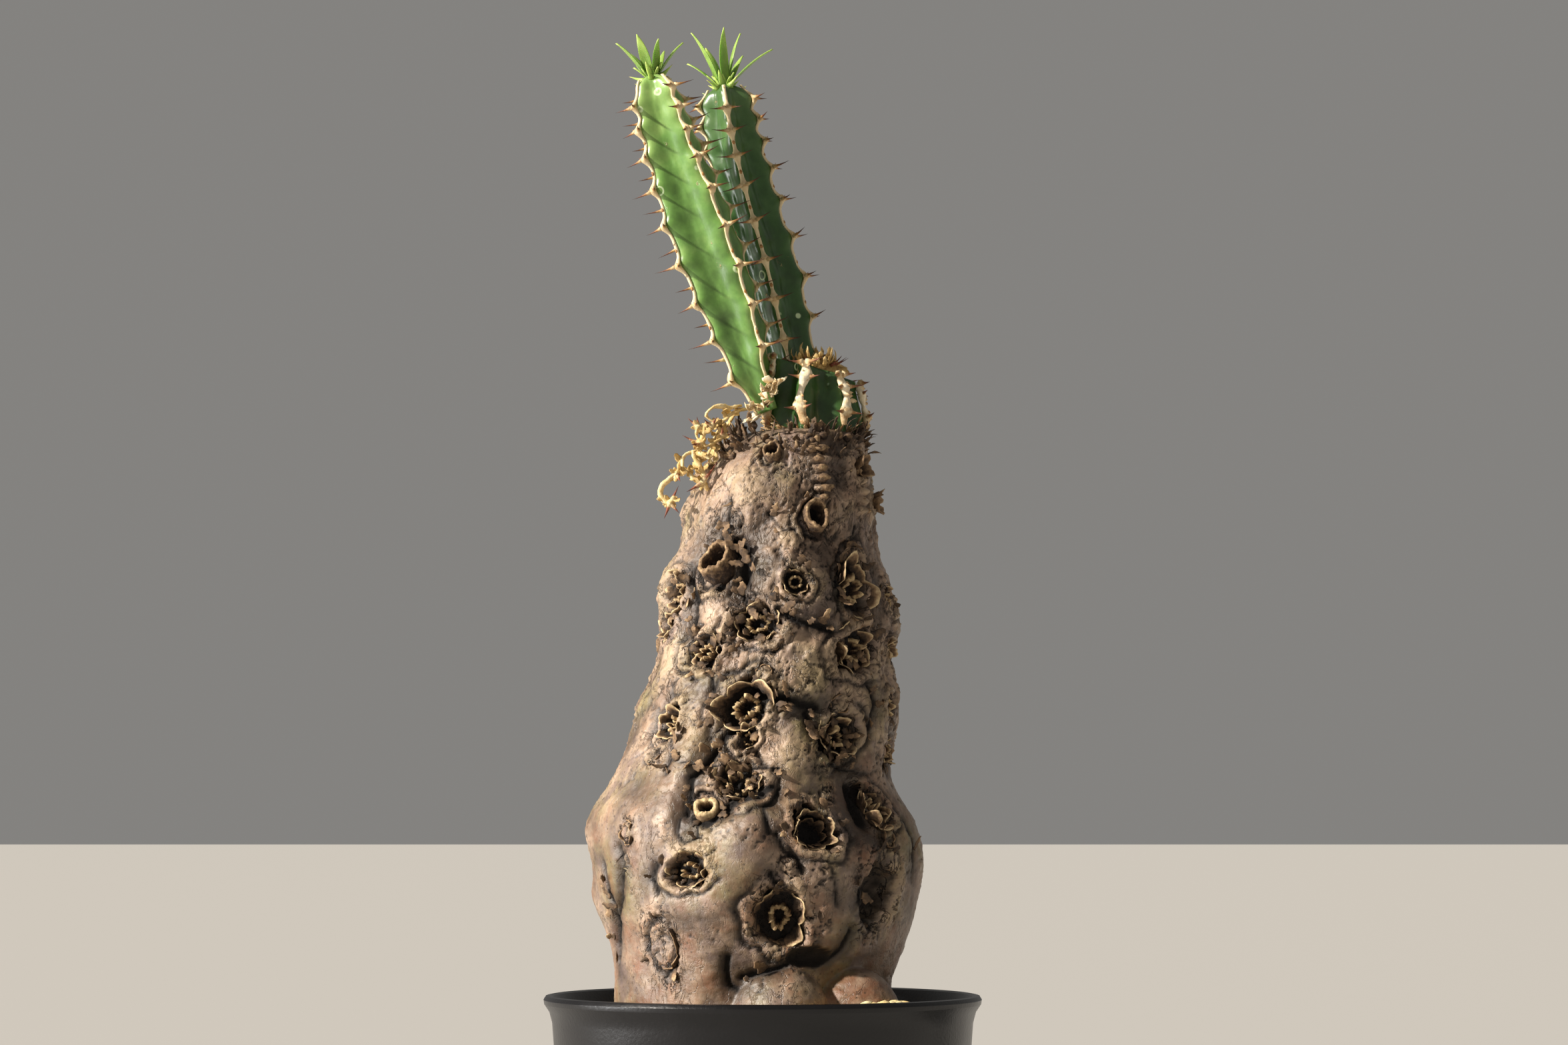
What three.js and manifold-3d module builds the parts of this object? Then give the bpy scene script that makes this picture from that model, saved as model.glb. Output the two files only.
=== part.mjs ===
// Potted euphorbia with a swollen trunk and two thorny stems, in millimetres, +Z up.
// The origin is the centre of the pot's foot, on the surface it stands on. The front faces -Y.
// Heights called "up" are measured from the crest of the pot's rim.
import * as THREE from "three";
import { mergeVertices } from "three/addons/utils/BufferGeometryUtils.js";
import Module from "manifold-3d";

const wasm = await Module();
wasm.setup();

// Pot
const POT_HEIGHT = 104;
const RIM_RADIUS = 60;
const RIM_DEPTH = 7.5; // the flared band under the crest
const LIP_WIDTH = 3.4;
const FOOT_RADIUS = 50.5;
const FOOT_RING = 6.5; // width of the ring the pot stands on
const FOOT_RECESS = 2.5;
const WALL = 2.2;
const FLOOR = 3;
const POT_SIDES = 40;
const DRAIN_RADIUS = 4;
const DRAIN_CIRCLE = 26;
const DRAIN_COUNT = 6;

// Clearance between neighbouring pieces
const GAP = 0.35;

// Potting mix
const MIX_LEVEL = -7; // up
const GRAIN_SIZE = 2.2;
const GRAIN_COUNT = 20;
const HEAP_GRAINS = 9; // those of the grains that lie on the heap
const HEAP_HEIGHT = 4.6; // the mix is heaped at the right front
const HEAP_BEARING = -50; // degrees from +X

// Trunk: up, sideways centre, radius
const TRUNK = [
  [-62, 0, 8], [-45, 0, 22], [-20, -1, 34], [-8, -2, 38.5], [4, -2.5, 38.5], [15, -1, 41], [26, -1, 44],
  [37, -1.2, 45.5], [47.5, -2, 44.3], [58, -2.8, 39], [69, 0, 36.6], [80, 2.4, 35], [91, 3.3, 32.5],
  [101.5, 4.8, 32.3], [114.5, 4.2, 30.5], [123, 4.5, 27], [134, 6, 25.5], [145, 7.6, 22.3],
  [151, 9.4, 19.6], [154, 10.6, 16], [155, 11.5, 11],
];
const TRUNK_SIDES = 32;
const SOIL_ROWS = 4;
const BARK_ROWS = 25;
const BARK_FROM = -10;
const BACK_COLUMNS = [112, 146, 181, 216, 250]; // degrees round from the front
const BACK_ROW = 28;

// Bark swellings between the scars: across, up, width, height
const SWELLINGS = [
  [0.5, 49.5, 10, 2.2], [-5, 37.5, 9, 2.4], [16, 32.5, 10, 2.6], [-19, 63.5, 9, 1.4], [-26, 49.5, 10, 0.9],
  [-9, 25.5, 9, 2.2], [-21, 22.5, 10, 1.6], [20, 18.5, 11, 2.2], [6, 9, 12, 2], [-15, 8, 11, 1.6],
  [3, 85.5, 9, 1.6], [8, 119, 9, 1.8], [-3, 133.5, 8, 1.6], [33, 41, 11, 0.8], [14, 62.5, 9, 1.6],
];

// Scars of fallen branches: across, up, radius, kind
const SCARS = [
  [2.6, 147, 2.4, "tube"], [14.3, 129.5, 3.9, "tube"], [-12.9, 117, 5.8, "tube"], [9, 111.5, 3.2, "tube"],
  [27, 110.5, 5.4, "cup"], [-17, 93, 4.8, "cup"], [-2.3, 100.5, 6, "cup"], [27, 93.5, 7, "cup"],
  [-5.2, 78, 7, "cup"], [-26, 73.5, 4, "cup"], [-4.2, 69.5, 2.8, "cup"], [22, 70.5, 6, "cup"],
  [-6.8, 58, 6, "cup"], [-15.5, 51, 3.6, "tube"], [14, 45.5, 6, "cup"], [31.3, 51.5, 4.4, "cup"],
  [-20.2, 34.5, 5.4, "cup"], [4.6, 22, 6.6, "cup"], [32, 29, 6.4, "cup"], [-7, 129, 1.9, "bud"],
  [2.6, 95.5, 2.4, "bud"], [0.4, 87, 2.4, "bud"], [22, 79, 2.6, "bud"], [17.6, 54.5, 2, "bud"],
  [34.5, 43.5, 2.4, "bud"], [-26.7, 14, 5, "bud"], [-36.9, 44.5, 2.6, "bud"], [-38, 36.5, 2, "bud"],
  [6.9, 36, 2.2, "bud"], [-30, 65, 2.6, "bud"], [-24.6, 110, 4.4, "cup"], [-26.7, 100.5, 3, "cup"],
  [35.5, 108, 3, "cup"], [35.3, 93.5, 2.8, "cup"], [35.5, 79, 3, "cup"], [35.3, 66, 3, "cup"],
  [27.3, 144, 2.6, "tube"], [31, 135, 2.8, "tube"], [-18.5, 142.5, 3.4, "tube"],
];

// Roots that swell out at the soil line, and the dark hollow over them: across, depth, up, half sizes
const ROOTS = [[5, -37, -4, 13, 10, 12.5], [25, -30, -4, 12, 10, 12.5]];
const ROOT_HOLLOW = [13, -41, 11.5, 7, 6, 3];

// Stems: points are across, depth, up; girth is the share of the length, then the rib radius;
// leaves are where the leaf tips stand from the stem's tip: across, depth, up
const FRONT_STEM = {
  name: "front_stem",
  points: [
    [1.5, -6.5, 160], [-1, -7, 166.5], [-3.5, -7.5, 172], [-6.2, -8, 181], [-9.7, -8.6, 190.5], [-13.2, -9.2, 200],
    [-19.8, -10.4, 218], [-26.4, -11.5, 237], [-30.6, -12.2, 253],
  ],
  girth: [[0, 4.2], [0.07, 5.2], [0.13, 6.3], [0.18, 7.2], [0.23, 8.2], [0.33, 9.3], [0.43, 10.1], [0.54, 10.4],
    [0.63, 10], [0.73, 9], [0.83, 8.1], [0.91, 7.3], [0.97, 6], [1, 4]],
  firstRib: -145,
  leaves: [[-9.5, -2, 9], [-4, -3, 11], [1.5, -4, 9.5], [8, -1, 9.5], [3, 5, 8], [-6, 4, 7]],
};
const BACK_STEM = {
  name: "back_stem",
  points: [
    [8.8, 5.5, 165], [7.5, 6, 174], [4.6, 6.5, 187], [1.5, 7, 200.5], [-3.9, 7.6, 220], [-8.3, 8, 238],
    [-11, 8, 254],
  ],
  girth: [[0, 6.4], [0.1, 7.2], [0.23, 7.9], [0.37, 8.5], [0.48, 8.2], [0.58, 8], [0.69, 7.8], [0.79, 7.4],
    [0.89, 6.9], [0.96, 6], [1, 4.2]],
  firstRib: -92,
  leaves: [[-8.5, -2, 15], [-0.5, -3, 16], [4, 2, 15.5], [13, 0, 11.5], [-5, 5, 12], [5, 6, 10], [-10, 2, 7]],
};
const RIBS = 4;
const STEM_ROWS = 10;
const CREST = 5; // half the crest's width, in degrees
const VALLEY = 0.63; // depth of the hollow face, as a share of the rib radius
const MARGIN_WIDTH = 1.7;
const MARGIN_THICK = 1.2;
const SHIELD_RISE = 0.7;
const SHIELD_TOP = 5; // shield spacing at the tip
const SHIELD_GROWTH = 0.17;
const SHIELD_SPACING = 11.4; // shield spacing further down
const SPINE_LENGTH = 5.6;
const SPINE_ROOT = 1.1; // half the length of rib that a pair of spines grows from
const LEAF_WIDTH = 2.7;
const LEAF_ROOT = 0.985; // share of the stem's length that its leaves grow at

// Stump of the old main stem
const STUMP = { x: 14.2, y: 0, low: 151, top: 172, ribs: 7, rib: 13.5, valley: 9.8, firstRib: -155.4,
  margin: 3, marginThick: 1.9, slope: 0.28 };
const CALLUS = { x: 14.6, y: -3.5, radius: 6.5, height: 4.6 };

// Dead branch at the upper left: across, depth, up
const DRY_BRANCH = [
  [-4, -8, 160.5], [-9, -9, 164], [-16, -9.5, 165], [-20.6, -10, 157.5], [-22.7, -10, 150.5], [-27.2, -10, 142.6],
  [-27, -10, 136],
];
const STRANDS = 3;
const TIES = 4;
const DRY_SPINE = 6.2;

const rad = THREE.MathUtils.degToRad;
const vec = (x, y, z) => new THREE.Vector3(x, y, z);
const atRim = ([x, y, up]) => vec(x, y, POT_HEIGHT + up);

// A repeatable draw between 0 and 1 for each whole number.
function draw(n) {
  const s = Math.sin(n * 12.9898 + 78.233) * 43758.5453;
  return s - Math.floor(s);
}

// Smooth curve through knots [place, value, ...], read at a place.
function through(knots, place, column = 1) {
  const last = knots.length - 1;
  let i = 0;
  while (i < last - 1 && place > knots[i + 1][0]) i++;
  const [a, b] = [knots[i], knots[i + 1]];
  const before = knots[Math.max(0, i - 1)];
  const after = knots[Math.min(last, i + 2)];
  const span = b[0] - a[0];
  const t = THREE.MathUtils.clamp((place - a[0]) / span, 0, 1);
  const slopeA = ((b[column] - before[column]) / (b[0] - before[0])) * span;
  const slopeB = ((after[column] - a[column]) / (after[0] - a[0])) * span;
  const t2 = t * t;
  const t3 = t2 * t;
  return (
    (2 * t3 - 3 * t2 + 1) * a[column] + (t3 - 2 * t2 + t) * slopeA +
    (3 * t2 - 2 * t3) * b[column] + (t3 - t2) * slopeB
  );
}

// A closed geometry as a solid with its faces pointing out.
function solid(geometry) {
  const bare = geometry.clone();
  bare.deleteAttribute("normal");
  bare.deleteAttribute("uv");
  const whole = mergeVertices(bare.index ? bare : mergeVertices(bare), 1e-4);
  const index = [];
  for (let i = 0; i < whole.index.count; i += 3) {
    const [a, b, c] = [0, 1, 2].map((k) => whole.index.getX(i + k));
    if (a !== b && b !== c && a !== c) index.push(a, b, c);
  }
  const vertProperties = new Float32Array(whole.attributes.position.array);
  const make = (list) =>
    new wasm.Manifold(new wasm.Mesh({ numProp: 3, vertProperties, triVerts: new Uint32Array(list) }));
  const made = make(index);
  return made.volume() > 0 ? made : make(index.toReversed());
}

const join = (solids) => wasm.Manifold.union(solids);

// The largest body of a solid, without the scraps that a cut leaves.
function largest(cut) {
  return cut.decompose().sort((a, b) => b.volume() - a.volume())[0];
}

function mesh(name, made, material) {
  const { numProp, vertProperties, triVerts } = made.getMesh();
  const geometry = new THREE.BufferGeometry();
  geometry.setAttribute("position", new THREE.BufferAttribute(vertProperties, numProp));
  geometry.setIndex(new THREE.BufferAttribute(triVerts, 1));
  geometry.computeVertexNormals();
  const result = new THREE.Mesh(geometry, material);
  result.name = name;
  return result;
}

// A closed cylinder whose vertices are placed by a function of corner, share of length and share of radius.
function shaped(sides, rows, place) {
  const geometry = new THREE.CylinderGeometry(1, 1, 1, sides, rows);
  const position = geometry.attributes.position;
  for (let i = 0; i < position.count; i++) {
    const [x, y, z] = [position.getX(i), position.getY(i), position.getZ(i)];
    const reach = Math.min(1, Math.hypot(x, z));
    const corner = reach > 0.5 ? (Math.round((Math.atan2(x, z) / (2 * Math.PI)) * sides) + sides) % sides : 0;
    position.setXYZ(i, ...place(corner, y + 0.5, Math.round(reach)).toArray());
  }
  return solid(geometry);
}

function turned(profile, sides) {
  const points = profile.map(([r, z]) => new THREE.Vector2(r, z));
  return solid(new THREE.LatheGeometry(points, sides).rotateX(Math.PI / 2));
}

function ball(centre, x, y, z, sides = 12, rows = 8) {
  return solid(new THREE.SphereGeometry(1, sides, rows).scale(x, y, z).translate(...centre.toArray()));
}

// Three axes at a point of a path: two across it, nearest to +X and +Y, and one along it.
function axesOf(along) {
  const t = along.clone().normalize();
  const u = vec(1, 0, 0).addScaledVector(t, -t.x).normalize();
  return [u, t.clone().cross(u), t];
}

// A cone from a root along a direction.
function spike(root, direction, length, radius, sides = 3) {
  const [u, v, t] = axesOf(direction);
  return shaped(sides, 1, (corner, along, reach) => {
    const turn = (corner / sides) * 2 * Math.PI;
    const r = reach * radius * (1 - along * 0.94);
    return root.clone().addScaledVector(u, r * Math.cos(turn)).addScaledVector(v, r * Math.sin(turn))
      .addScaledVector(t, along * length);
  });
}

// A leaf or bark flake: a lens-shaped blade that curls away from a face.
function blade(root, direction, face, length, width, curl, thick = 0.8, rows = 2) {
  const t = direction.clone().normalize();
  const n = face.clone().addScaledVector(t, -face.dot(t)).normalize();
  const w = t.clone().cross(n);
  return shaped(4, rows, (corner, along, reach) => {
    const turn = (corner / 4) * 2 * Math.PI;
    const fullness = Math.sin(Math.PI * (0.22 + 0.76 * along)) ** 0.8;
    return root.clone().addScaledVector(t, along * length)
      .addScaledVector(n, curl * along * along * length + reach * Math.cos(turn) * thick * 0.5)
      .addScaledVector(w, reach * Math.sin(turn) * width * 0.5 * fullness);
  });
}

// Pot

function pot() {
  const innerFoot = FOOT_RADIUS - WALL;
  const band = POT_HEIGHT - RIM_DEPTH;
  const inside = RIM_RADIUS - LIP_WIDTH;
  const body = turned([
    [0, FOOT_RECESS], [FOOT_RADIUS - FOOT_RING - 1, FOOT_RECESS], [FOOT_RADIUS - FOOT_RING, 0], [FOOT_RADIUS, 0],
    [RIM_RADIUS - 2.4, band], [RIM_RADIUS - 1.6, POT_HEIGHT - 4.5], [RIM_RADIUS - 0.2, POT_HEIGHT - 2.4],
    [RIM_RADIUS, POT_HEIGHT - 1.2], [RIM_RADIUS - 0.6, POT_HEIGHT - 0.2], [RIM_RADIUS - 1.6, POT_HEIGHT],
    [inside + 0.8, POT_HEIGHT - 0.4], [inside, POT_HEIGHT - 2], [wallInside(band), band],
    [innerFoot, FOOT_RECESS + FLOOR], [0, FOOT_RECESS + FLOOR],
  ], POT_SIDES);
  const hole = (x, y) => {
    const drill = new THREE.CylinderGeometry(DRAIN_RADIUS, DRAIN_RADIUS, 4 * FLOOR, 12);
    return solid(drill.rotateX(Math.PI / 2).translate(x, y, FOOT_RECESS));
  };
  const drains = [hole(0, 0)];
  for (let i = 0; i < DRAIN_COUNT; i++) {
    const turn = ((i + 0.5) / DRAIN_COUNT) * 2 * Math.PI;
    drains.push(hole(DRAIN_CIRCLE * Math.cos(turn), DRAIN_CIRCLE * Math.sin(turn)));
  }
  return body.subtract(join(drains));
}

// The inner radius of the pot's wall at a height.
function wallInside(z) {
  const low = FOOT_RECESS + FLOOR;
  const band = POT_HEIGHT - RIM_DEPTH;
  return FOOT_RADIUS - WALL + ((z - low) / (band - low)) * (RIM_RADIUS - FOOT_RADIUS - 2.4);
}

// Trunk

const radiusAt = (up) => through(TRUNK, up, 2);
const centreAt = (up) => through(TRUNK, up, 1);

// The bearing, round from the front, of a point seen from the front.
function bearing(across, up) {
  return Math.asin(THREE.MathUtils.clamp((across - centreAt(up)) / radiusAt(up), -0.985, 0.985));
}

const frontScars = SCARS.map(([across, up, size, kind]) => ({ turn: bearing(across, up), up, size, kind }));

// Scars on the unseen side follow the same columns, in staggered rows.
const backScars = BACK_COLUMNS.flatMap((degrees, column) => {
  const list = [];
  for (let row = 0; row < 6; row++) {
    const n = column * 7 + row;
    const up = 12 + BACK_ROW * (row + (column % 2) / 2) + 6 * (draw(n) - 0.5);
    if (up > 143) continue;
    const size = 2.6 + 3.8 * draw(n + 50);
    const kind = size < 3.6 ? "bud" : draw(n + 90) < 0.25 ? "tube" : "cup";
    list.push({ turn: rad(degrees + 9 * (draw(n + 20) - 0.5)), up, size, kind });
  }
  return list;
});
const scars = [...frontScars, ...backScars];

const swellings = SWELLINGS.map(([across, up, width, height]) => ({ turn: bearing(across, up), up, width, height }));
for (const scar of backScars) {
  swellings.push({ turn: scar.turn + 0.3, up: scar.up + 9, width: 9, height: 1.8 });
}

// How much of a mark is left at a distance from its middle.
function fade(turn, up, mark, width) {
  const apart = Math.atan2(Math.sin(turn - mark.turn), Math.cos(turn - mark.turn)) * radiusAt(mark.up);
  return Math.exp(-(apart * apart + (up - mark.up) ** 2) / (width * width));
}

function relief(turn, up) {
  let out = 0;
  for (const s of swellings) out += s.height * fade(turn, up, s, s.width);
  for (const s of scars) out -= (s.kind === "bud" ? 0.25 : 0.4) * s.size * fade(turn, up, s, 1.6 * s.size);
  return out;
}

function barkPoint(turn, up, proud = 0) {
  const r = radiusAt(up) + relief(turn, up) + proud;
  return vec(centreAt(up) + r * Math.sin(turn), -r * Math.cos(turn), POT_HEIGHT + up);
}

// The direction straight out of the bark.
function barkNormal(turn, up) {
  const round = barkPoint(turn + 0.04, up).sub(barkPoint(turn - 0.04, up));
  return round.cross(barkPoint(turn, up + 2).sub(barkPoint(turn, up - 2))).normalize();
}

function trunkBody(grow = 0) {
  const rows = SOIL_ROWS + BARK_ROWS;
  const bottom = TRUNK[0][0];
  const top = TRUNK[TRUNK.length - 1][0];
  const trunk = shaped(TRUNK_SIDES, rows, (corner, along, reach) => {
    const row = Math.round(along * rows);
    const up = row < SOIL_ROWS
      ? bottom + (row / SOIL_ROWS) * (BARK_FROM - bottom)
      : BARK_FROM + ((row - SOIL_ROWS) / BARK_ROWS) * (top - BARK_FROM);
    const end = row === 0 ? -grow : row === rows ? grow : 0;
    const turn = (corner / TRUNK_SIDES) * 2 * Math.PI;
    const point = barkPoint(turn, up, grow);
    return reach ? point.add(vec(0, 0, end)) : vec(centreAt(up), 0, POT_HEIGHT + up + end);
  });
  const roots = ROOTS.map(([x, y, up, a, b, c]) => ball(atRim([x, y, up]), a + grow, b + grow, c + grow, 10, 6));
  return join([trunk, ...roots]);
}

// A ragged collar round a scar, and the hollow inside it.
function collar(scar, number) {
  const normal = barkNormal(scar.turn, scar.up);
  if (scar.kind === "tube") normal.add(vec(0, 0, 0.25)).normalize();
  const middle = barkPoint(scar.turn, scar.up);
  const side = vec(0, 0, 1).cross(normal).normalize();
  const over = normal.clone().cross(side);
  const sides = scar.size > 4.5 ? 7 : 5;
  const height = { tube: 0.6 * scar.size + 1.8, cup: 2.2, bud: 1.4 }[scar.kind];
  const wall = 0.55 + 0.13 * scar.size;
  const ring = (low, high, lowRadius, highRadius, ragged) =>
    shaped(sides, 1, (corner, along, reach) => {
      const turn = (corner / sides) * 2 * Math.PI;
      const uneven = along * reach * ragged * (draw(number * 31 + corner) - 0.35);
      const r = reach * (along ? highRadius : lowRadius) * (1 + 0.16 * (draw(number * 17 + corner) - 0.5));
      return middle.clone().addScaledVector(side, r * Math.cos(turn)).addScaledVector(over, r * Math.sin(turn))
        .addScaledVector(normal, (along ? high : low) + uneven);
    });
  const outer = ring(-3, height, scar.size * 1.12, scar.kind === "bud" ? scar.size * 0.5 : scar.size, height);
  const depth = scar.kind === "tube" ? 0.7 * scar.size : 0.55 * scar.size;
  const inner = ring(-depth, height + 2, 0, (scar.size - wall) * 1.15, 0);
  return { outer, inner: scar.kind === "bud" ? null : inner };
}

// Papery bark flakes that stand round the larger cups.
const FLAKED_SIZE = 5.8;

function flakes(scar, number) {
  if (scar.size < FLAKED_SIZE || scar.kind !== "cup") return [];
  const normal = barkNormal(scar.turn, scar.up);
  const side = vec(0, 0, 1).cross(normal).normalize();
  const over = normal.clone().cross(side);
  return [0, 1].map((k) => {
    const turn = 2 * Math.PI * (k / 2 + draw(number * 13 + k));
    const away = side.clone().multiplyScalar(Math.cos(turn)).addScaledVector(over, Math.sin(turn));
    const root = barkPoint(scar.turn, scar.up).addScaledVector(away, scar.size * 0.95)
      .addScaledVector(normal, -1);
    const direction = normal.clone().addScaledVector(away, 0.5);
    return blade(root, direction, away, 3.6 + draw(number + k), scar.size * 0.75, 0.35);
  });
}

// Knuckles left by the old stem's ribs near the top of the trunk: across, lowest and highest up
const KNUCKLES = [[16, 135, 145], [27, 132, 141]];
const KNUCKLE_STEP = 2.7;
const KNUCKLE_SIZE = [2.4, 1.8, 1.1]; // half sizes

function knuckles() {
  const list = [];
  for (const [across, low, high] of KNUCKLES) {
    for (let up = low; up <= high; up += KNUCKLE_STEP) {
      list.push(ball(barkPoint(bearing(across, up), up, 0.3), ...KNUCKLE_SIZE, 5, 3));
    }
  }
  return list;
}

function trunk() {
  const collars = scars.map(collar);
  const hollows = collars.filter((c) => c.inner).map((c) => c.inner);
  const [x, y, up, a, b, c] = ROOT_HOLLOW;
  hollows.push(ball(atRim([x, y, up]), a, b, c, 10, 6));
  const grown = join([trunkBody(), ...collars.map((made) => made.outer), ...knuckles(), ...scars.flatMap(flakes)]);
  return largest(grown.subtract(join(hollows)).subtract(stumpBody(GAP)));
}

// Potting mix

function heap(turn, radius) {
  const lift = Math.exp(-(((turn - rad(HEAP_BEARING)) / 0.42) ** 2)) * THREE.MathUtils.smoothstep(radius, 38, 50);
  return HEAP_HEIGHT * lift;
}

function mix() {
  const low = FOOT_RECESS + FLOOR + GAP;
  const level = POT_HEIGHT + MIX_LEVEL;
  const edge = wallInside(level) - GAP;
  const rings = [edge, 49, 42];
  const profile = [[0, low], [wallInside(low) - GAP, low], ...rings.map((r) => [r, level]), [0, level]];
  const geometry = new THREE.LatheGeometry(profile.map(([r, z]) => new THREE.Vector2(r, z)), POT_SIDES);
  geometry.rotateX(Math.PI / 2);
  const position = geometry.attributes.position;
  for (let i = 0; i < position.count; i++) {
    const [x, y, z] = [position.getX(i), position.getY(i), position.getZ(i)];
    const r = Math.hypot(x, y);
    if (z < level - 1 || r < 35) continue;
    const turn = Math.atan2(y, x);
    const bump = r > edge - 1 ? 0 : 0.9 * Math.sin(turn * 11 + r) * Math.cos(turn * 5 - 2 * r);
    position.setZ(i, z + bump + (r > edge - 1 ? 0.5 : 1) * heap(turn, r));
  }
  const grains = [];
  for (let i = 0; i < GRAIN_COUNT; i++) {
    const turn = i < HEAP_GRAINS ? rad(HEAP_BEARING) + 0.9 * (draw(i) - 0.5) : 2 * Math.PI * draw(i);
    const r = 43 + 8.6 * draw(i + 200);
    const size = GRAIN_SIZE * (0.75 + 0.4 * draw(i + 300));
    const grain = new THREE.IcosahedronGeometry(size, 0).rotateX(6 * draw(i + 400)).rotateZ(6 * draw(i + 500));
    grain.translate(r * Math.cos(turn), r * Math.sin(turn), level + heap(turn, r) + 0.25 * size);
    grains.push(solid(grain));
  }
  return largest(join([solid(geometry), ...grains]).subtract(trunkBody(GAP)));
}

// Stems

// The path of a stem, with its girth and its frame at any share of its length.
function stemPath(stem) {
  const curve = new THREE.CatmullRomCurve3(stem.points.map(atRim));
  return {
    length: curve.getLength(),
    at: (share) => curve.getPointAt(share),
    axes: (share) => axesOf(curve.getTangentAt(share)),
    girth: (share) => through(stem.girth, share),
  };
}

// Corner angles of a quarter of the section: both edges of the crest, its flanks and the valley
const QUARTER = [-CREST, CREST, 25, 45, 65];

function stemBody(stem, grow = 0) {
  const path = stemPath(stem);
  return shaped(RIBS * QUARTER.length, STEM_ROWS, (corner, share, reach) => {
    const [u, v, t] = path.axes(share);
    const angle = QUARTER[corner % QUARTER.length];
    const turn = rad(stem.firstRib + 90 * Math.floor(corner / QUARTER.length) + angle);
    const crest = ((1 + Math.cos(rad(4 * angle))) / 2) ** 1.5;
    const r = reach * (path.girth(share) * (VALLEY + (1 - VALLEY) * crest) + grow);
    const end = share === 0 ? -grow : share === 1 ? grow : 0;
    return path.at(share).addScaledVector(u, r * Math.cos(turn)).addScaledVector(v, r * Math.sin(turn))
      .addScaledVector(t, end);
  });
}

function stemLeaves(stem) {
  const path = stemPath(stem);
  const [u, v, t] = path.axes(1);
  const list = [];
  for (const tip of stem.leaves) {
    const reach = vec(...tip);
    const away = reach.clone().addScaledVector(t, -reach.dot(t)).normalize();
    const root = path.at(LEAF_ROOT).addScaledVector(away, 1.2);
    const direction = path.at(1).add(reach).sub(root);
    list.push(blade(root, direction, away, direction.length(), LEAF_WIDTH, 0.12, 0.9));
  }
  for (let i = 0; i < 2 * RIBS; i++) {
    const turn = rad(stem.firstRib + 45 * i);
    const away = u.clone().multiplyScalar(Math.cos(turn)).addScaledVector(v, Math.sin(turn));
    const root = path.at(i % 2 ? LEAF_ROOT : 0.955).addScaledVector(away, 1.6);
    list.push(spike(root, away.clone().addScaledVector(t, 0.5), 5, 0.8));
  }
  return list;
}

// Distances of the shields from the tip, closer together near the tip.
function shieldPlaces(length, offset) {
  const places = [];
  let from = 5.5 + offset;
  while (from < length - 8) {
    places.push(from);
    from += Math.min(SHIELD_SPACING, SHIELD_TOP + SHIELD_GROWTH * from);
  }
  return places;
}

// A corky strip along a rib whose own corners run out into a pair of spines at each shield.
// at gives the foot of the strip, its outward and sideways directions for a station.
function corkStrip(stations, at, width, thick, spine, grow = 0) {
  const rows = stations.length - 1;
  return shaped(5, rows, (corner, along, reach) => {
    const station = stations[Math.round(along * rows)];
    const { foot, n, w, t } = at(station.place);
    const half = width / 2 + grow;
    const high = thick + grow + (station.shield ? SHIELD_RISE : 0);
    const point = foot.clone().addScaledVector(n, -grow);
    if (!reach) return point.addScaledVector(n, high / 2);
    const [out, side] = [[0, -1], [0.55, -1], [1, 0], [0.55, 1], [0, 1]][corner];
    point.addScaledVector(n, out * high + grow).addScaledVector(w, side * half * (station.shield ? 1.7 : 1));
    if (station.shield && (corner === 1 || corner === 3)) {
      const lean = station.lean * side;
      point.addScaledVector(n, 0.42 * spine).addScaledVector(w, 0.8 * side * spine).addScaledVector(t, lean);
    }
    return point;
  });
}

function margin(stem, rib, grow = 0) {
  const path = stemPath(stem);
  const places = shieldPlaces(path.length, rib % 2 ? 0 : 3);
  const stations = [{ place: 3.5 }];
  places.forEach((place, i) => {
    const lean = 1.6 * (draw(i * 9 + rib * 5) - 0.5);
    stations.push({ place: place - SPINE_ROOT }, { place, shield: true, lean }, { place: place + 1.3 * SPINE_ROOT });
  });
  stations.push({ place: path.length - 2 });
  stations.reverse();
  const turn = rad(stem.firstRib + 90 * rib);
  return corkStrip(stations, (from) => {
    const share = 1 - from / path.length;
    const [u, v, t] = path.axes(share);
    const n = u.clone().multiplyScalar(Math.cos(turn)).addScaledVector(v, Math.sin(turn));
    return { foot: path.at(share).addScaledVector(n, path.girth(share) + GAP), n, w: t.clone().cross(n), t };
  }, MARGIN_WIDTH, MARGIN_THICK, SPINE_LENGTH, grow);
}

// Stump

function stumpTop(x) {
  return STUMP.top - STUMP.slope * (x - STUMP.x);
}

const waistAt = (along) => 0.86 + 0.14 * Math.sin(Math.PI * Math.min(1, 0.15 + along));

function stumpBody(grow = 0) {
  const sides = STUMP.ribs * 4;
  return shaped(sides, 4, (corner, along, reach) => {
    const turn = rad(STUMP.firstRib) + (corner / sides) * 2 * Math.PI;
    const crest = [1, 0.42, 0, 0.42][corner % 4];
    const r = reach * (waistAt(along) * (STUMP.valley + (STUMP.rib - STUMP.valley) * crest) + grow);
    const x = STUMP.x + r * Math.cos(turn);
    const low = STUMP.low - grow;
    return vec(x, STUMP.y + r * Math.sin(turn), POT_HEIGHT + low + along * (stumpTop(x) + grow - low));
  });
}

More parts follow.
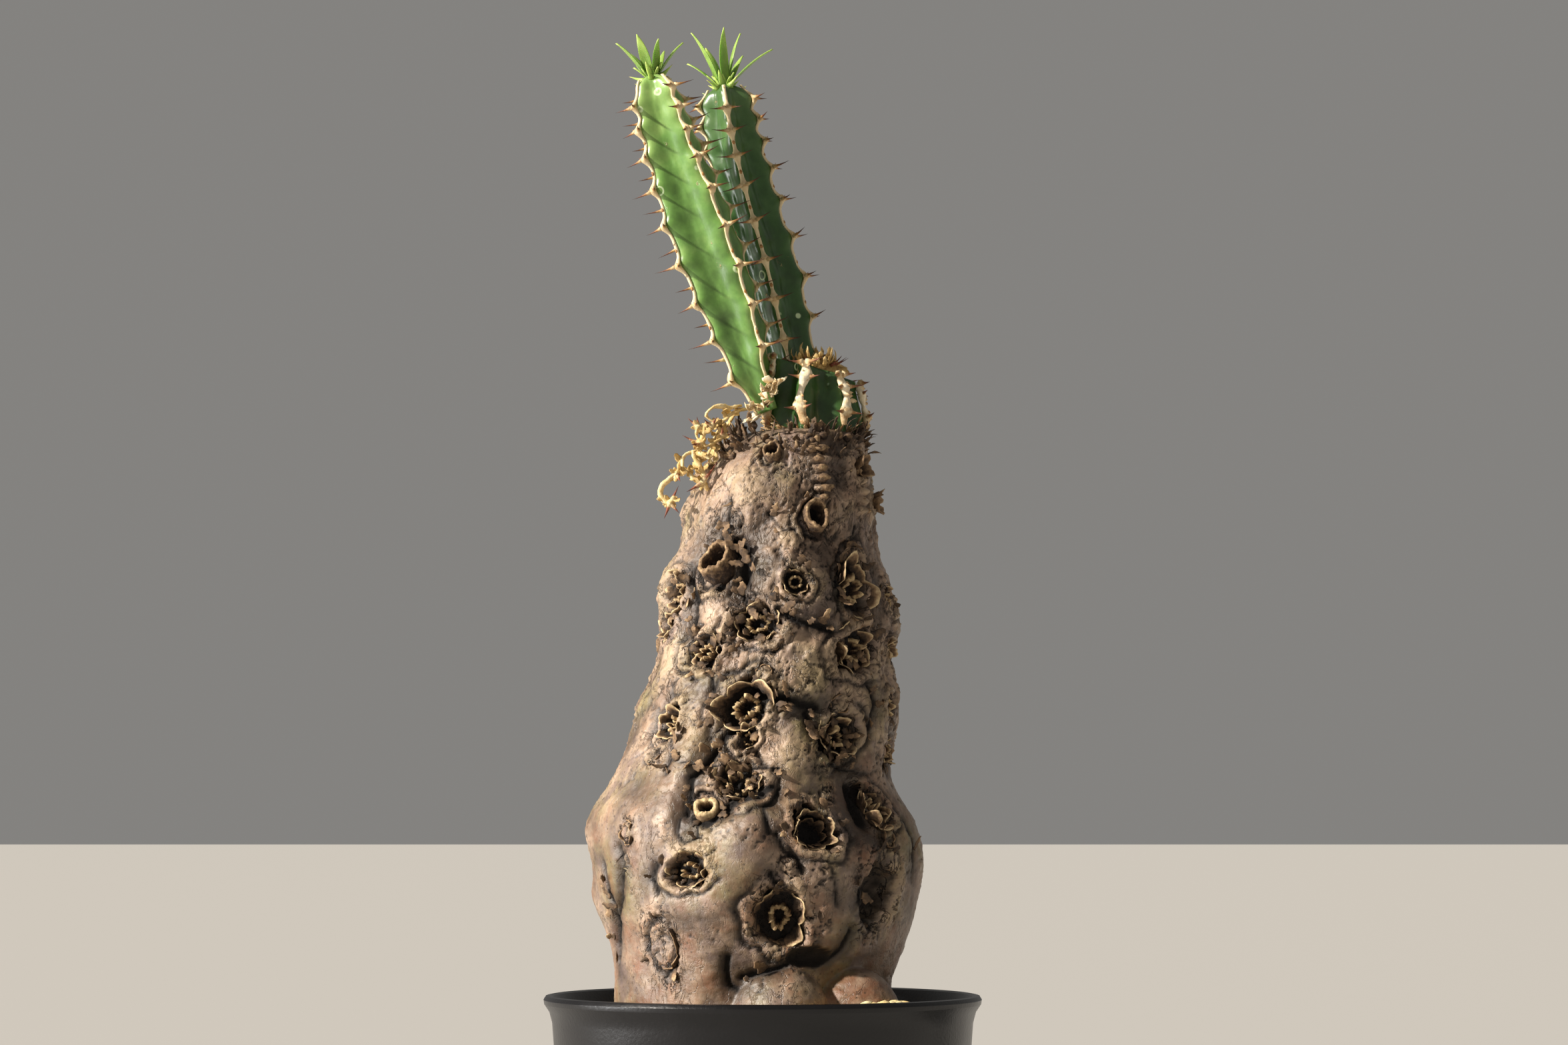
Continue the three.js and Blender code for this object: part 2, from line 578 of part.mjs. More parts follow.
function stumpMargin(rib, grow = 0) {
  const turn = rad(STUMP.firstRib + (rib * 360) / STUMP.ribs);
  const n = vec(Math.cos(turn), Math.sin(turn), 0);
  const w = vec(-n.y, n.x, 0);
  const low = TRUNK[TRUNK.length - 1][0] + 2 * GAP;
  const high = stumpTop(STUMP.x + STUMP.rib * n.x) + 0.6;
  const stations = [0, 0.12, 0.26, 0.4, 0.6, 0.74, 0.88, 1].map((place, i) => {
    return { place, shield: i === 2 || i === 5, lean: 1.5 * (draw(rib * 3 + i) - 0.5) };
  });
  return corkStrip(stations, (along) => {
    const foot = vec(STUMP.x, STUMP.y, POT_HEIGHT + low + along * (high - low));
    foot.addScaledVector(n, STUMP.rib * waistAt(0.25 + 0.75 * along) + GAP + 0.3);
    foot.addScaledVector(w, 0.8 * Math.sin(7 * along + 2 * rib));
    return { foot, n, w, t: vec(0, 0, 1) };
  }, STUMP.margin, STUMP.marginThick, SPINE_LENGTH * 0.85, grow);
}

// The crusty dried cap on the stump, with curled scraps.
function callus(obstacle) {
  const { x, y, radius, height } = CALLUS;
  const low = POT_HEIGHT + STUMP.top - 0.6;
  const cap = shaped(8, 2, (corner, along, reach) => {
    const turn = (corner / 8) * 2 * Math.PI;
    const r = reach * radius * (0.75 + 0.4 * draw(corner + 3)) * (1 - 0.45 * along ** 2);
    return vec(x + 1.25 * r * Math.cos(turn), y + 0.8 * r * Math.sin(turn), low + along * height);
  });
  const scraps = [];
  for (let i = 0; i < 5; i++) {
    const turn = 2 * Math.PI * ((i + draw(i)) / 5);
    const away = vec(Math.cos(turn), Math.sin(turn), 0);
    const root = vec(x, y, low + 2.2).addScaledVector(away, 0.55 * radius);
    scraps.push(blade(root, away.clone().add(vec(0, 0, 0.7)), vec(0, 0, 1), 5, 2.6, 0.2));
  }
  return largest(join([cap, ...scraps]).subtract(obstacle));
}

// Dead branch: wavy strands round its path, tied at the old shields, with red-brown spines.
function dryBranch(obstacle) {
  const curve = new THREE.CatmullRomCurve3(DRY_BRANCH.map(atRim));
  const at = (share) => ({ point: curve.getPointAt(share), axes: axesOf(curve.getTangentAt(share)) });
  const parts = [];
  for (let k = 0; k < STRANDS; k++) {
    parts.push(shaped(3, 2 * TIES, (corner, share, reach) => {
      const { point, axes: [u, v] } = at(share);
      const swing = Math.abs(Math.sin(Math.PI * TIES * share));
      const turn = (2 * Math.PI * k) / STRANDS + 1.3 * share;
      const wide = 0.4 + 3.6 * swing * (1 - 0.25 * share);
      const around = (corner / 3) * 2 * Math.PI;
      const r = reach * (0.6 + 0.35 * (1 - swing));
      return point.addScaledVector(u, wide * Math.cos(turn) + r * Math.cos(around))
        .addScaledVector(v, wide * Math.sin(turn) + r * Math.sin(around));
    }));
  }
  for (let i = 1; i <= TIES; i++) {
    const { point, axes: [u, v, t] } = at(i / TIES);
    for (const hand of [-1, 1]) {
      const turn = i * 1.9 + (hand > 0 ? Math.PI * 0.8 : 0);
      const away = u.clone().multiplyScalar(Math.cos(turn)).addScaledVector(v, Math.sin(turn));
      parts.push(spike(point.clone(), away.addScaledVector(t, 0.3), DRY_SPINE, 0.75));
    }
  }
  for (let i = 0; i < 3; i++) {
    const { point, axes: [u, v, t] } = at((i + 0.5) / TIES);
    const turn = 2.4 * i;
    const away = u.clone().multiplyScalar(Math.cos(turn)).addScaledVector(v, Math.sin(turn));
    parts.push(blade(point.addScaledVector(away, 0.2), away, t, 4.6, 3.2, 0.3));
  }
  return largest(join(parts).subtract(obstacle));
}

// Finishes

const finish = (color, roughness) => new THREE.MeshStandardMaterial({ color, roughness, metalness: 0 });
const blackPlastic = finish("#1b1a1d", 0.45);
const pumice = finish("#e8d08a", 0.95);
const bark = finish("#8a7866", 0.85);
const greenSkin = finish("#4f8a36", 0.4);
const cork = finish("#d8c39a", 0.7);
const scarredCork = finish("#e0d2b4", 0.75);
const driedTissue = finish("#c2a35f", 0.8);

// The plant in its pot

const plant = new THREE.Group();
const stems = [FRONT_STEM, BACK_STEM];
const stump = stumpBody();
const stumpGrown = stumpBody(GAP);
const trunkGrown = trunkBody(GAP);

plant.add(mesh("pot", pot(), blackPlastic));
plant.add(mesh("potting_mix", mix(), pumice));
plant.add(mesh("caudex", trunk(), bark));
plant.add(mesh("stump", stump, greenSkin));

const stemsGrown = stems.map((stem) => stemBody(stem, GAP));
stems.forEach((stem) => {
  const body = largest(stemBody(stem).subtract(stumpGrown).subtract(trunkGrown));
  plant.add(mesh(stem.name, join([body, ...stemLeaves(stem)]), greenSkin));
});

let taken = join([stumpGrown, trunkGrown, ...stemsGrown]);
function addMargin(name, strip, grown, material) {
  plant.add(mesh(name, largest(strip.subtract(taken)), material));
  taken = join([taken, grown]);
}
for (let rib = 0; rib < STUMP.ribs; rib++) {
  addMargin(`stump_margin_${rib + 1}`, stumpMargin(rib), stumpMargin(rib, GAP), scarredCork);
}
stems.forEach((stem) => {
  for (let rib = 0; rib < RIBS; rib++) {
    addMargin(`${stem.name}_margin_${rib + 1}`, margin(stem, rib), margin(stem, rib, GAP), cork);
  }
});
plant.add(mesh("stump_callus", callus(taken), driedTissue));
plant.add(mesh("dry_branch", dryBranch(taken), driedTissue));

export default plant;
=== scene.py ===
"""Potted euphorbia: the fine meshes, finishes, floor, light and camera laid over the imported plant.

Shapes are worked out in millimetres and turned to metres when a piece is made.
Heights called "up" are measured from the crest of the pot's rim, and "across" is to the viewer's right.
"""

import math
from collections import namedtuple

import bmesh
import bpy
import numpy as np
from mathutils import Matrix, Vector, noise


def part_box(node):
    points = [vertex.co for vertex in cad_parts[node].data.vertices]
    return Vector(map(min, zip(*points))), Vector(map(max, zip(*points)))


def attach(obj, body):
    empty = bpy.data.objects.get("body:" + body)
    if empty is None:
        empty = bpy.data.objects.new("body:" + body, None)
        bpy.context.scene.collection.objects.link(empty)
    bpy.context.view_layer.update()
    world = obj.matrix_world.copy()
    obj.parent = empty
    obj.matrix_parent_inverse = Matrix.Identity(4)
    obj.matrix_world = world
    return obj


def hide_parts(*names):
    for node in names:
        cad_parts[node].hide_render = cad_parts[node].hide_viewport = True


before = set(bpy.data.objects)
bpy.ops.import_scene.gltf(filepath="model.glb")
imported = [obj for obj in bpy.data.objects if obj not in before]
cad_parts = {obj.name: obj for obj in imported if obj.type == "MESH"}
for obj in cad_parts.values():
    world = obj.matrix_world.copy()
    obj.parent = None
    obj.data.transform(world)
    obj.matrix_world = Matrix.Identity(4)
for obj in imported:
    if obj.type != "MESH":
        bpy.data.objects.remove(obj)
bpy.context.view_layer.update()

bl_info = {
    "name": "Potted Euphorbia",
    "version": (1, 0, 0),
    "blender": (4, 5, 0),
    "location": "View3D > Sidebar > Euphorbia",
    "description": "Dresses a potted euphorbia with bark, thorns, leaves and a studio",
    "category": "Add Mesh",
}

MM = 0.001
FULL_TURN = 2 * math.pi
POT_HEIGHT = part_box("pot")[1].z / MM
RIM_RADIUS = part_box("pot")[1].x / MM

# Pot
RIM_DEPTH = 7.5
LIP_WIDTH = 3.4
BAND_STEP = 2.4  # how far the rim stands out from the wall
FOOT_RADIUS = 50.5
FOOT_RING = 6.5
FOOT_RECESS = 2.5
WALL = 2.2
FLOOR = 3
DRAIN_RADIUS = 4
DRAIN_CIRCLE = 26
DRAIN_COUNT = 6

# Potting mix
MIX_LEVEL = -7
HEAP_HEIGHT = 4.6
HEAP_BEARING = math.radians(-50)

# Trunk: up, sideways centre, radius
TRUNK = [
    (-62, 0, 8), (-45, 0, 22), (-20, -1, 34), (-8, -2, 38.5), (4, -2.5, 38.5), (15, -1, 41), (26, -1, 44),
    (37, -1.2, 45.5), (47.5, -2, 44.3), (58, -2.8, 39), (69, 0, 36.6), (80, 2.4, 35), (91, 3.3, 32.5),
    (101.5, 4.8, 32.3), (114.5, 4.2, 30.5), (123, 4.5, 27), (134, 6, 25.5), (145, 7.6, 22.3),
    (151, 9.4, 19.6), (154, 10.6, 16), (155, 11.5, 11),
]
BARK_FROM = -12
SOIL_ROWS = 12
FRONT_BIAS = 0.3  # how much closer the mesh columns stand at the front

# Swellings between the scars: across, up, width, height
SWELLINGS = [
    (0.5, 49.5, 10, 2.2), (-5, 37.5, 9, 2.4), (16, 32.5, 10, 2.6), (-19, 63.5, 9, 1.4), (-26, 49.5, 10, 0.9),
    (-9, 25.5, 9, 2.2), (-21, 22.5, 10, 1.6), (20, 18.5, 11, 2.2), (6, 9, 12, 2), (-15, 8, 11, 1.6),
    (3, 85.5, 9, 1.6), (8, 119, 9, 1.8), (-3, 133.5, 8, 1.6), (33, 41, 11, 0.8), (14, 62.5, 9, 1.6),
]
SWELL_GAIN = 1.3  # the fine skin bulges more than the solid

# Scars of fallen branches: across, up, radius, kind, and height over width
SCARS = [
    (2.6, 147, 2.4, "tube", 1.3), (14.3, 129.5, 3.9, "tube", 1.2), (-12.9, 117, 4.5, "tube", 1.4),
    (9, 111.5, 3.2, "cup", 1.1), (27, 110.5, 5.4, "cup", 1.35), (-17, 93, 4.8, "torn", 1),
    (-2.3, 100.5, 6, "torn", 0.8), (27, 93.5, 7, "torn", 0.85), (-5.2, 78, 7, "cup", 0.9),
    (-26, 73.5, 4, "cup", 1.1), (-4.2, 69.5, 2.8, "torn", 1), (22, 70.5, 6, "torn", 0.9),
    (-6.8, 58, 6, "torn", 0.8), (-15.5, 51, 3.6, "thick", 1), (14, 45.5, 6, "bowl", 0.85),
    (31.3, 51.5, 4.4, "torn", 1.3), (-20.2, 34.5, 5.4, "torn", 0.8), (4.6, 22, 6.6, "cup", 1),
    (32, 29, 6.4, "hollow", 1.4), (-7, 129, 1.9, "bud", 1), (2.6, 95.5, 2.4, "bud", 1),
    (0.4, 87, 2.4, "bud", 0.9), (22, 79, 2.6, "bud", 1), (17.6, 54.5, 2, "bud", 1),
    (34.5, 43.5, 2.4, "bud", 1.2), (-26.7, 14, 5, "bud", 1.3), (-36.9, 44.5, 2.6, "bud", 1.2),
    (-38, 36.5, 2, "bud", 1), (6.9, 36, 2.2, "bud", 1), (-30, 65, 2.6, "bud", 1),
    (-24.6, 110, 4.4, "torn", 1.2), (-26.7, 100.5, 3, "cup", 1.2), (35.5, 108, 3, "cup", 1.2),
    (35.3, 93.5, 2.8, "torn", 1.2), (35.5, 79, 3, "cup", 1), (35.3, 66, 3, "torn", 1),
    (27.3, 144, 2.6, "trumpet", 1), (31, 135, 3.4, "trumpet", 1), (-18.5, 142.5, 3.4, "tube", 1),
]
BACK_COLUMNS = [112, 146, 181, 216, 250]  # degrees round from the front
BACK_ROW = 28

# Cracks and folds of the bark: width, depth, then points across and up
FOLDS = [
    (0.6, 0.8, [(-8, 135), (-10, 127.5), (-12, 125)]),
    (2.2, 2.5, [(-12, 124), (-9, 121), (-5.5, 120), (-5, 116), (-6, 111.5)]),
    (0.6, 0.9, [(-3.5, 119), (-4, 114), (-7, 110), (-6, 106.5), (-2, 104.5)]),
    (1.2, 1.8, [(-20, 115.5), (-20.5, 111.5), (-19, 106.5), (-19.5, 102), (-21, 98.5)]),
    (1.2, 2, [(4, 104), (8.5, 101.5), (11.5, 100.5), (15.5, 100), (19.5, 98.5)]),
    (1.2, 1.6, [(21, 112), (22, 108), (24.5, 105), (27.5, 103)]),
    (0.7, 0.8, [(25.5, 127.5), (24.5, 122), (21.5, 114)]),
    (0.5, 0.6, [(1.5, 130.5), (3.5, 128), (5.5, 125.5), (8.5, 126)]),
    (0.7, 0.8, [(-14.5, 87.5), (-14.5, 83), (-14, 79.5)]),
    (1.5, 2.2, [(-2.5, 82.5), (1.5, 80.5), (6.5, 80), (11, 78.5), (15, 77.5)]),
    (1.2, 1.6, [(-9, 72), (-12, 67.5), (-15.5, 62.5), (-19, 59), (-19.5, 54), (-21, 49)]),
    (0.4, 0.6, [(-24, 64), (-15.5, 62), (-5.5, 61.5), (4.5, 61.5)]),
    (1.2, 1.6, [(-19.5, 48), (-15, 46.5), (-11, 49.5), (-7, 53), (-1.5, 54), (2.5, 56.5)]),
    (0.8, 1, [(4.5, 56), (2.5, 52.5), (0, 51), (1, 47.5), (1.5, 44.5)]),
    (1.3, 2, [(12, 76), (13.5, 72.5), (16.5, 69), (20, 67), (23.5, 66)]),
    (0.6, 0.8, [(-24.5, 69), (-24.5, 65), (-25.5, 60)]),
    (0.6, 0.8, [(15.5, 62), (18.5, 62.5), (23, 61), (26.5, 61)]),
    (2.6, 4, [(25.5, 55), (26.5, 51), (28, 47.5)]),
    (0.8, 1, [(30, 84), (31.5, 79), (30.5, 74.5), (29.5, 70)]),
    (0.5, 0.6, [(-22.5, 48), (-23, 44), (-21, 41.5), (-17.5, 43), (-17.5, 48)]),
    (0.8, 0.9, [(-29, 36), (-30, 32.5), (-28, 28.5)]),
    (1, 1.6, [(-39.5, 40.5), (-38.5, 36.5), (-39, 27.5), (-40, 18), (-40, 9.5)]),
    (0.8, 1.2, [(-44, 36.5), (-43, 31), (-41, 24.5), (-40.5, 14)]),
    (1.2, 1.5, [(-9, 11.5), (-9.5, 8), (-9, 4.5), (-7, 3)]),
    (1.2, 1.6, [(-5.5, 6.5), (2, 8), (6, 9.5)]),
    (1, 1.6, [(16.5, 11), (20, 13.5), (22.5, 18.5)]),
    (0.8, 1, [(3.5, 44), (5.5, 39.5), (9.5, 37.5), (10, 34.5)]),
    (0.8, 1, [(2, 34), (3, 31.5), (6, 30.5), (5, 28.5)]),
    (0.6, 0.5, [(17, 35.5), (18, 31), (18.5, 25)]),
    (1.6, 2, [(26.5, 29), (26, 26), (29, 19.5)]),
    (0.8, 1, [(38.5, 48), (41, 42.5), (41.5, 34)]),
    (0.7, 0.9, [(-26.5, 6), (-23.5, 9.5), (-22.5, 14)]),
]

# Roots that swell out at the soil line, and the hollow over them: across, depth, up, half sizes
ROOTS = [(5, -37, -4, 13, 10, 12.5), (25, -30, -4, 12, 10, 12.5)]
ROOT_HOLLOW = (13, -41, 11.5, 7, 6, 3)
ROOT_BLEND = 5  # how softly the roots run into the trunk

# Knuckles left by the old stem's ribs: across, lowest and highest up
KNUCKLES = [(16, 135, 146), (27, 132, 141)]
KNUCKLE_STEP = 2.7

# Stems: points are across, depth, up; girth is the share of the length, then the rib radius;
# leaves are where the leaf tips stand from the tip of the stem: across, depth, up
Stem = namedtuple("Stem", "name points girth first_rib leaves")
FRONT_STEM = Stem(
    "front_stem",
    [
        (1.5, -6.5, 160), (-1, -7, 166.5), (-3.5, -7.5, 172), (-6.2, -8, 181), (-9.7, -8.6, 190.5),
        (-13.2, -9.2, 200), (-19.8, -10.4, 218), (-26.4, -11.5, 237), (-30.6, -12.2, 253),
    ],
    [
        (0, 4.2), (0.07, 5.2), (0.13, 6.3), (0.18, 7.2), (0.23, 8.2), (0.33, 9.3), (0.43, 10.1), (0.54, 10.4),
        (0.63, 10), (0.73, 9), (0.83, 8.1), (0.91, 7.3), (0.97, 6), (1, 4),
    ],
    -145,
    [(-9.5, -2, 9), (-4, -3, 11), (1.5, -4, 9.5), (8, -1, 9.5), (3, 5, 8), (-6, 4, 7)],
)
BACK_STEM = Stem(
    "back_stem",
    [
        (8.8, 5.5, 165), (7.5, 6, 174), (4.6, 6.5, 187), (1.5, 7, 200.5), (-3.9, 7.6, 220), (-8.3, 8, 238),
        (-11, 8, 254),
    ],
    [
        (0, 6.4), (0.1, 7.2), (0.23, 7.9), (0.37, 8.5), (0.48, 8.2), (0.58, 8), (0.69, 7.8), (0.79, 7.4),
        (0.89, 6.9), (0.96, 6), (1, 4.2),
    ],
    -92,
    [(-8.5, -2, 15), (-0.5, -3, 16), (4, 2, 15.5), (13, 0, 11.5), (-5, 5, 12), (5, 6, 10), (-10, 2, 7)],
)
STEMS = [FRONT_STEM, BACK_STEM]
RIBS = 4
VALLEY = 0.63  # depth of the hollow face, as a share of the rib radius
GAP = 0.35
MARGIN_WIDTH = 1.5
MARGIN_THICK = 1.1
SHIELD_TOP = 5  # shield spacing at the tip
SHIELD_GROWTH = 0.17
SHIELD_SPACING = 11.4  # shield spacing further down
SPINE_LENGTH = 5.8

# Stump of the old main stem
STUMP_X = 14.2
STUMP_LOW = 151
STUMP_TOP = 172
STUMP_RIBS = 7
STUMP_RIB = 13.5
STUMP_VALLEY = 9.8
STUMP_FIRST = -155.4
CALLUS = (14.6, -3.5, 6.5, 4.6)

# Dead branch: strands as points across, depth, up
DRY_STRANDS = [
    [(-4, -8, 160.5), (-6.5, -10, 160), (-9, -11, 158.5), (-10.5, -11.5, 157), (-13, -12, 156.5),
     (-15.5, -12, 158), (-14.5, -12.5, 160), (-11.5, -12, 161), (-9, -11, 160.5), (-6, -9.5, 161.5)],
    [(-10.5, -10.5, 156.5), (-14.5, -12, 155.5), (-17.5, -12.5, 155), (-18, -12.5, 152.5),
     (-17, -12.5, 150.5), (-19, -12, 148.5), (-21, -12, 147.5), (-22.5, -12, 145.5), (-23.5, -12, 142.5),
     (-26.5, -11, 140), (-28, -10, 137.5), (-27, -10, 135), (-25, -11, 134.5), (-24, -12, 136)],
    [(-19, -12, 148.5), (-18.5, -13.5, 146), (-17, -14, 143.5), (-16, -14, 141), (-16.5, -14, 139.5)],
    [(-10.5, -10, 156), (-10.5, -12, 153), (-13, -13, 151), (-15.5, -13, 150), (-17, -12.5, 150.5)],
    [(-22, -12, 147), (-22, -13, 143.5), (-20.5, -13.5, 143), (-19, -14, 141), (-16.5, -14, 139.5),
     (-14.5, -12, 137.5)],
    [(-15.5, -12, 156), (-16, -14, 153), (-17.5, -12.5, 151)],
    [(-13, -12, 150.5), (-12.5, -13, 147), (-13.5, -14, 145), (-15, -14, 146.5), (-17.5, -13, 148)],
    [(-7, -9, 160), (-9.5, -8, 156.5), (-12.5, -8, 154), (-13.5, -9, 150), (-15.5, -9.5, 147),
     (-19, -10, 145)],
]
# Shields of the dead branch, then where each pair of thorns ends: across, depth, up
DRY_SHIELDS = [
    ((-17.5, -12.5, 155), [(-20.5, -13, 157.5), (-18, -12, 158)]),
    ((-17, -12.5, 150.5), [(-22, -13, 152.8), (-19.5, -16, 150)]),
    ((-11, -12, 152.8), [(-8.5, -12, 153.3), (-11, -15, 155)]),
    ((-23.5, -12, 142.3), [(-25.8, -12, 143), (-22.5, -14.5, 140)]),
    ((-25.3, -10.5, 134.5), [(-27, -11, 130), (-22.8, -12, 131.5), (-23, -12, 139)]),
    ((-16.5, -14, 139.8), [(-20.8, -15.5, 137), (-12.2, -15, 145.5)]),
    ((-14, -12.5, 155.3), [(-16, -15, 157), (-12.5, -14, 157.8)]),
]

SCAR_REACH = 3.2  # how far round a scar its marks on the bark reach, in scar radii
RUGGED_FROM, RUGGED_TO = 52, 80  # heights between which the bark turns from smooth to rugged
COLLAR_LOW = 146  # the rough top of the trunk, round the stump
COLLAR_TOP = 152.5

# Numbers of small things
COLLAR_KNOBS = 36
COLLAR_SCRAPS = 170
FOLD_SCRAP_STEP = 3.4
FIBRES = 260
FRONT_FIBRES = 90
FLAPS = 34
CRUST_SCRAPS = 46
CRUST_THORNS = 9
SHIELD_SCRAPS = 5
STRAND_SCRAPS = 44
BUD_LEAVES = 11
CORK_SCRAPS = 9

# Studio, in metres but for the camera's own units
FLOOR_HALF = 20
SUN_WIDTH = math.radians(3.5)
SIDE_LIGHT_PLACE = (-0.74, -0.1, 0.12)
SIDE_LIGHT_SIZE = (0.3, 0.28)
SENSOR_WIDTH = 36
FOCAL_LENGTH = 91.6
PICTURE_WIDTH = 2352
PLANT_OFFSET = 32  # pixels from the middle of the picture to the plant, leftwards

UP = Vector((0, 0, 1))
TO_VIEWER = Vector((0, -1, 0))

Scar = namedtuple("Scar", "turn up size kind number stretch")
Swelling = namedtuple("Swelling", "turn up width height")


# Numbers and curves


def draw(n):
    """A repeatable draw between 0 and 1 for each whole number."""
    s = math.sin(n * 12.9898 + 78.233) * 43758.5453
    return s - math.floor(s)


def step(low, high, value):
    """Rises smoothly from 0 at low to 1 at high."""
    t = np.clip((value - low) / (high - low), 0, 1)
    return t * t * (3 - 2 * t)


def through(knots, place, column=1):
    """A smooth curve through knots (place, value, ...), read at a place or an array of places."""
    table = np.array(knots, float)
    at, value = table[:, 0], table[:, column]
    last = len(at) - 1
    i = np.clip(np.searchsorted(at, place) - 1, 0, last - 1)
    before, after = np.maximum(i - 1, 0), np.minimum(i + 2, last)
    span = at[i + 1] - at[i]
    t = np.clip((place - at[i]) / span, 0, 1)
    slope_a = (value[i + 1] - value[before]) / (at[i + 1] - at[before]) * span
    slope_b = (value[after] - value[i]) / (at[after] - at[i]) * span
    ease = 3 * t**2 - 2 * t**3
    leaving = (1 - ease) * value[i] + (t**3 - 2 * t**2 + t) * slope_a
    return leaving + ease * value[i + 1] + (t**3 - t**2) * slope_b


def field(points, size, octaves, seed, stretch=1.0):
    """Fractal noise at each point, its lumps of a size in millimetres and drawn out upwards by stretch."""
    shift = Vector((seed * 31.7, seed * 17.1, seed * 5.3))
    scale = Vector((1 / size, 1 / size, 1 / (size * stretch)))
    return np.array([noise.fractal(Vector(p) * scale + shift, 1.0, 2.0, octaves) for p in points])


def rough(point, size, seed=0):
    """Noise between about -1 and 1 at one point."""
    return noise.noise(Vector(point) / size + Vector((seed * 3.7, seed * 1.3, seed * 7.9)))


class Path:
    """A smooth line through points in millimetres, read at a share of its length."""

    def __init__(self, points):
        distances = [0.0]
        for a, b in zip(points, points[1:]):
            distances.append(distances[-1] + math.dist(a, b))
        self.knots = [(d, *p) for d, p in zip(distances, points)]
        self.length = distances[-1]

    def at(self, share):
        return Vector([float(through(self.knots, share * self.length, c)) for c in (1, 2, 3)])

    def axes(self, share):
        """Two directions across the line, nearest to +X and +Y, and the one along it."""
        nudge = 0.01
        along = (self.at(min(1, share + nudge)) - self.at(max(0, share - nudge))).normalized()
        u = Vector((1, 0, 0))
        u = (u - along * u.dot(along)).normalized()
        return u, along.cross(u), along


def spoke(turn):
    """The level direction at a bearing from +X."""
    return Vector((math.cos(turn), math.sin(turn), 0))


def swung(u, v, turn):
    """The direction that u turns to on its way to v."""
    return u * math.cos(turn) + v * math.sin(turn)


def above_rim(point):
    return (point[0], point[1], POT_HEIGHT + point[2])


# Modelling

_templates = {}


def kept(key, build):
    """The template mesh of a key, built the first time it is asked for."""
    if key not in _templates:
        bm = bmesh.new()
        build(bm)
        _templates[key] = bpy.data.meshes.new(key[0])
        bm.to_mesh(_templates[key])
        bm.free()
    return _templates[key]


def spin_round(bm, line, edges, steps):
    """Turns a line of vertices and its edges once round the upright axis."""
    bmesh.ops.spin(bm, geom=line + edges, cent=(0, 0, 0), axis=(0, 0, 1), angle=FULL_TURN, steps=steps,
                   use_merge=True)


def rod(sides, rows):
    """A closed round bar of radius 1 and height 1, with rows of faces along it."""

    def build(bm):
        bmesh.ops.create_cone(bm, cap_ends=True, cap_tris=True, segments=sides, radius1=1, radius2=1, depth=1)
        bmesh.ops.translate(bm, verts=bm.verts, vec=(0, 0, 0.5))
        upright = [e for e in bm.edges if abs(e.verts[0].co.z - e.verts[1].co.z) > 0.5]
        if rows > 1:
            bmesh.ops.subdivide_edges(bm, edges=upright, cuts=rows - 1, use_grid_fill=True)

    return kept(("rod", sides, rows), build)


def wall(sides, rows):
    """A closed ring wall: its inner face at radius 1 and outer face at radius 2, from height 0 to 1."""

    def build(bm):
        heights = [i / rows for i in range(rows + 1)]
        inner = [bm.verts.new((1, 0, h)) for h in heights]
        loop = inner + [bm.verts.new((2, 0, h)) for h in reversed(heights)]
        edges = [bm.edges.new((loop[i], loop[i - 1])) for i in range(len(loop))]
        spin_round(bm, loop, edges, sides)
        bmesh.ops.recalc_face_normals(bm, faces=bm.faces)

    return kept(("wall", sides, rows), build)


def pebble(fineness):
    """A ball of radius 1 with even faces."""

    def build(bm):
        bmesh.ops.create_icosphere(bm, subdivisions=fineness, radius=1)

    return kept(("pebble", fineness), build)


def new_shape():
    """An empty shape with the tint that finishes read at each vertex."""
    bm = bmesh.new()
    bm.verts.layers.float.new("tint")
    return bm


def add_part(bm, template, place):
    """Adds a copy of a template, each vertex moved and tinted by place(vertex) -> (point, tint)."""
    start = len(bm.verts)
    bm.from_mesh(template)
    bm.verts.ensure_lookup_table()
    tint = bm.verts.layers.float["tint"]
    for vertex in bm.verts[start:]:
        vertex.co, vertex[tint] = place(vertex.co)


def add_rod(bm, sides, rows, place):
    """Adds a bar whose vertices are placed by place(turn, share, reach) -> (point, tint)."""

    def put(co):
        reach = 1.0 if math.hypot(co.x, co.y) > 0.5 else 0.0
        return place(math.atan2(co.y, co.x) if reach else 0.0, round(co.z * rows) / rows, reach)

    add_part(bm, rod(sides, rows), put)


def piece(name, bm, finishes, slot, *nodes):
    """Turns a shape in millimetres into a smooth object in metres that rides on the plant."""
    bmesh.ops.scale(bm, vec=(MM, MM, MM), verts=bm.verts)
    mesh = bpy.data.meshes.new(name)
    bm.to_mesh(mesh)
    bm.free()
    for finish in finishes:
        mesh.materials.append(finish)
    mesh.shade_smooth()
    made = bpy.data.objects.new(name, mesh)
    bpy.context.scene.collection.objects.link(made)
    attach(made, "root")
    if nodes:
        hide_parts(*nodes)
    return made


def add_thorn(bm, root, tip, thick, sag=0.0, tints=(0.35, 1.0), sides=6, rows=5):
    """A thorn from a broad root to a sharp tip."""
    root, tip = Vector(root), Vector(tip)
    along = (tip - root).normalized()
    u = along.orthogonal().normalized()
    v = along.cross(u)
    length = (tip - root).length

    def place(turn, share, reach):
        r = reach * thick * (1 - 0.96 * share) * (1 + 0.9 * (1 - share) ** 4)
        point = root.lerp(tip, share) + swung(u, v, turn) * r
        point.z -= sag * length * math.sin(math.pi * share)
        return point, tints[0] + (tints[1] - tints[0]) * share

    add_rod(bm, sides, rows, place)


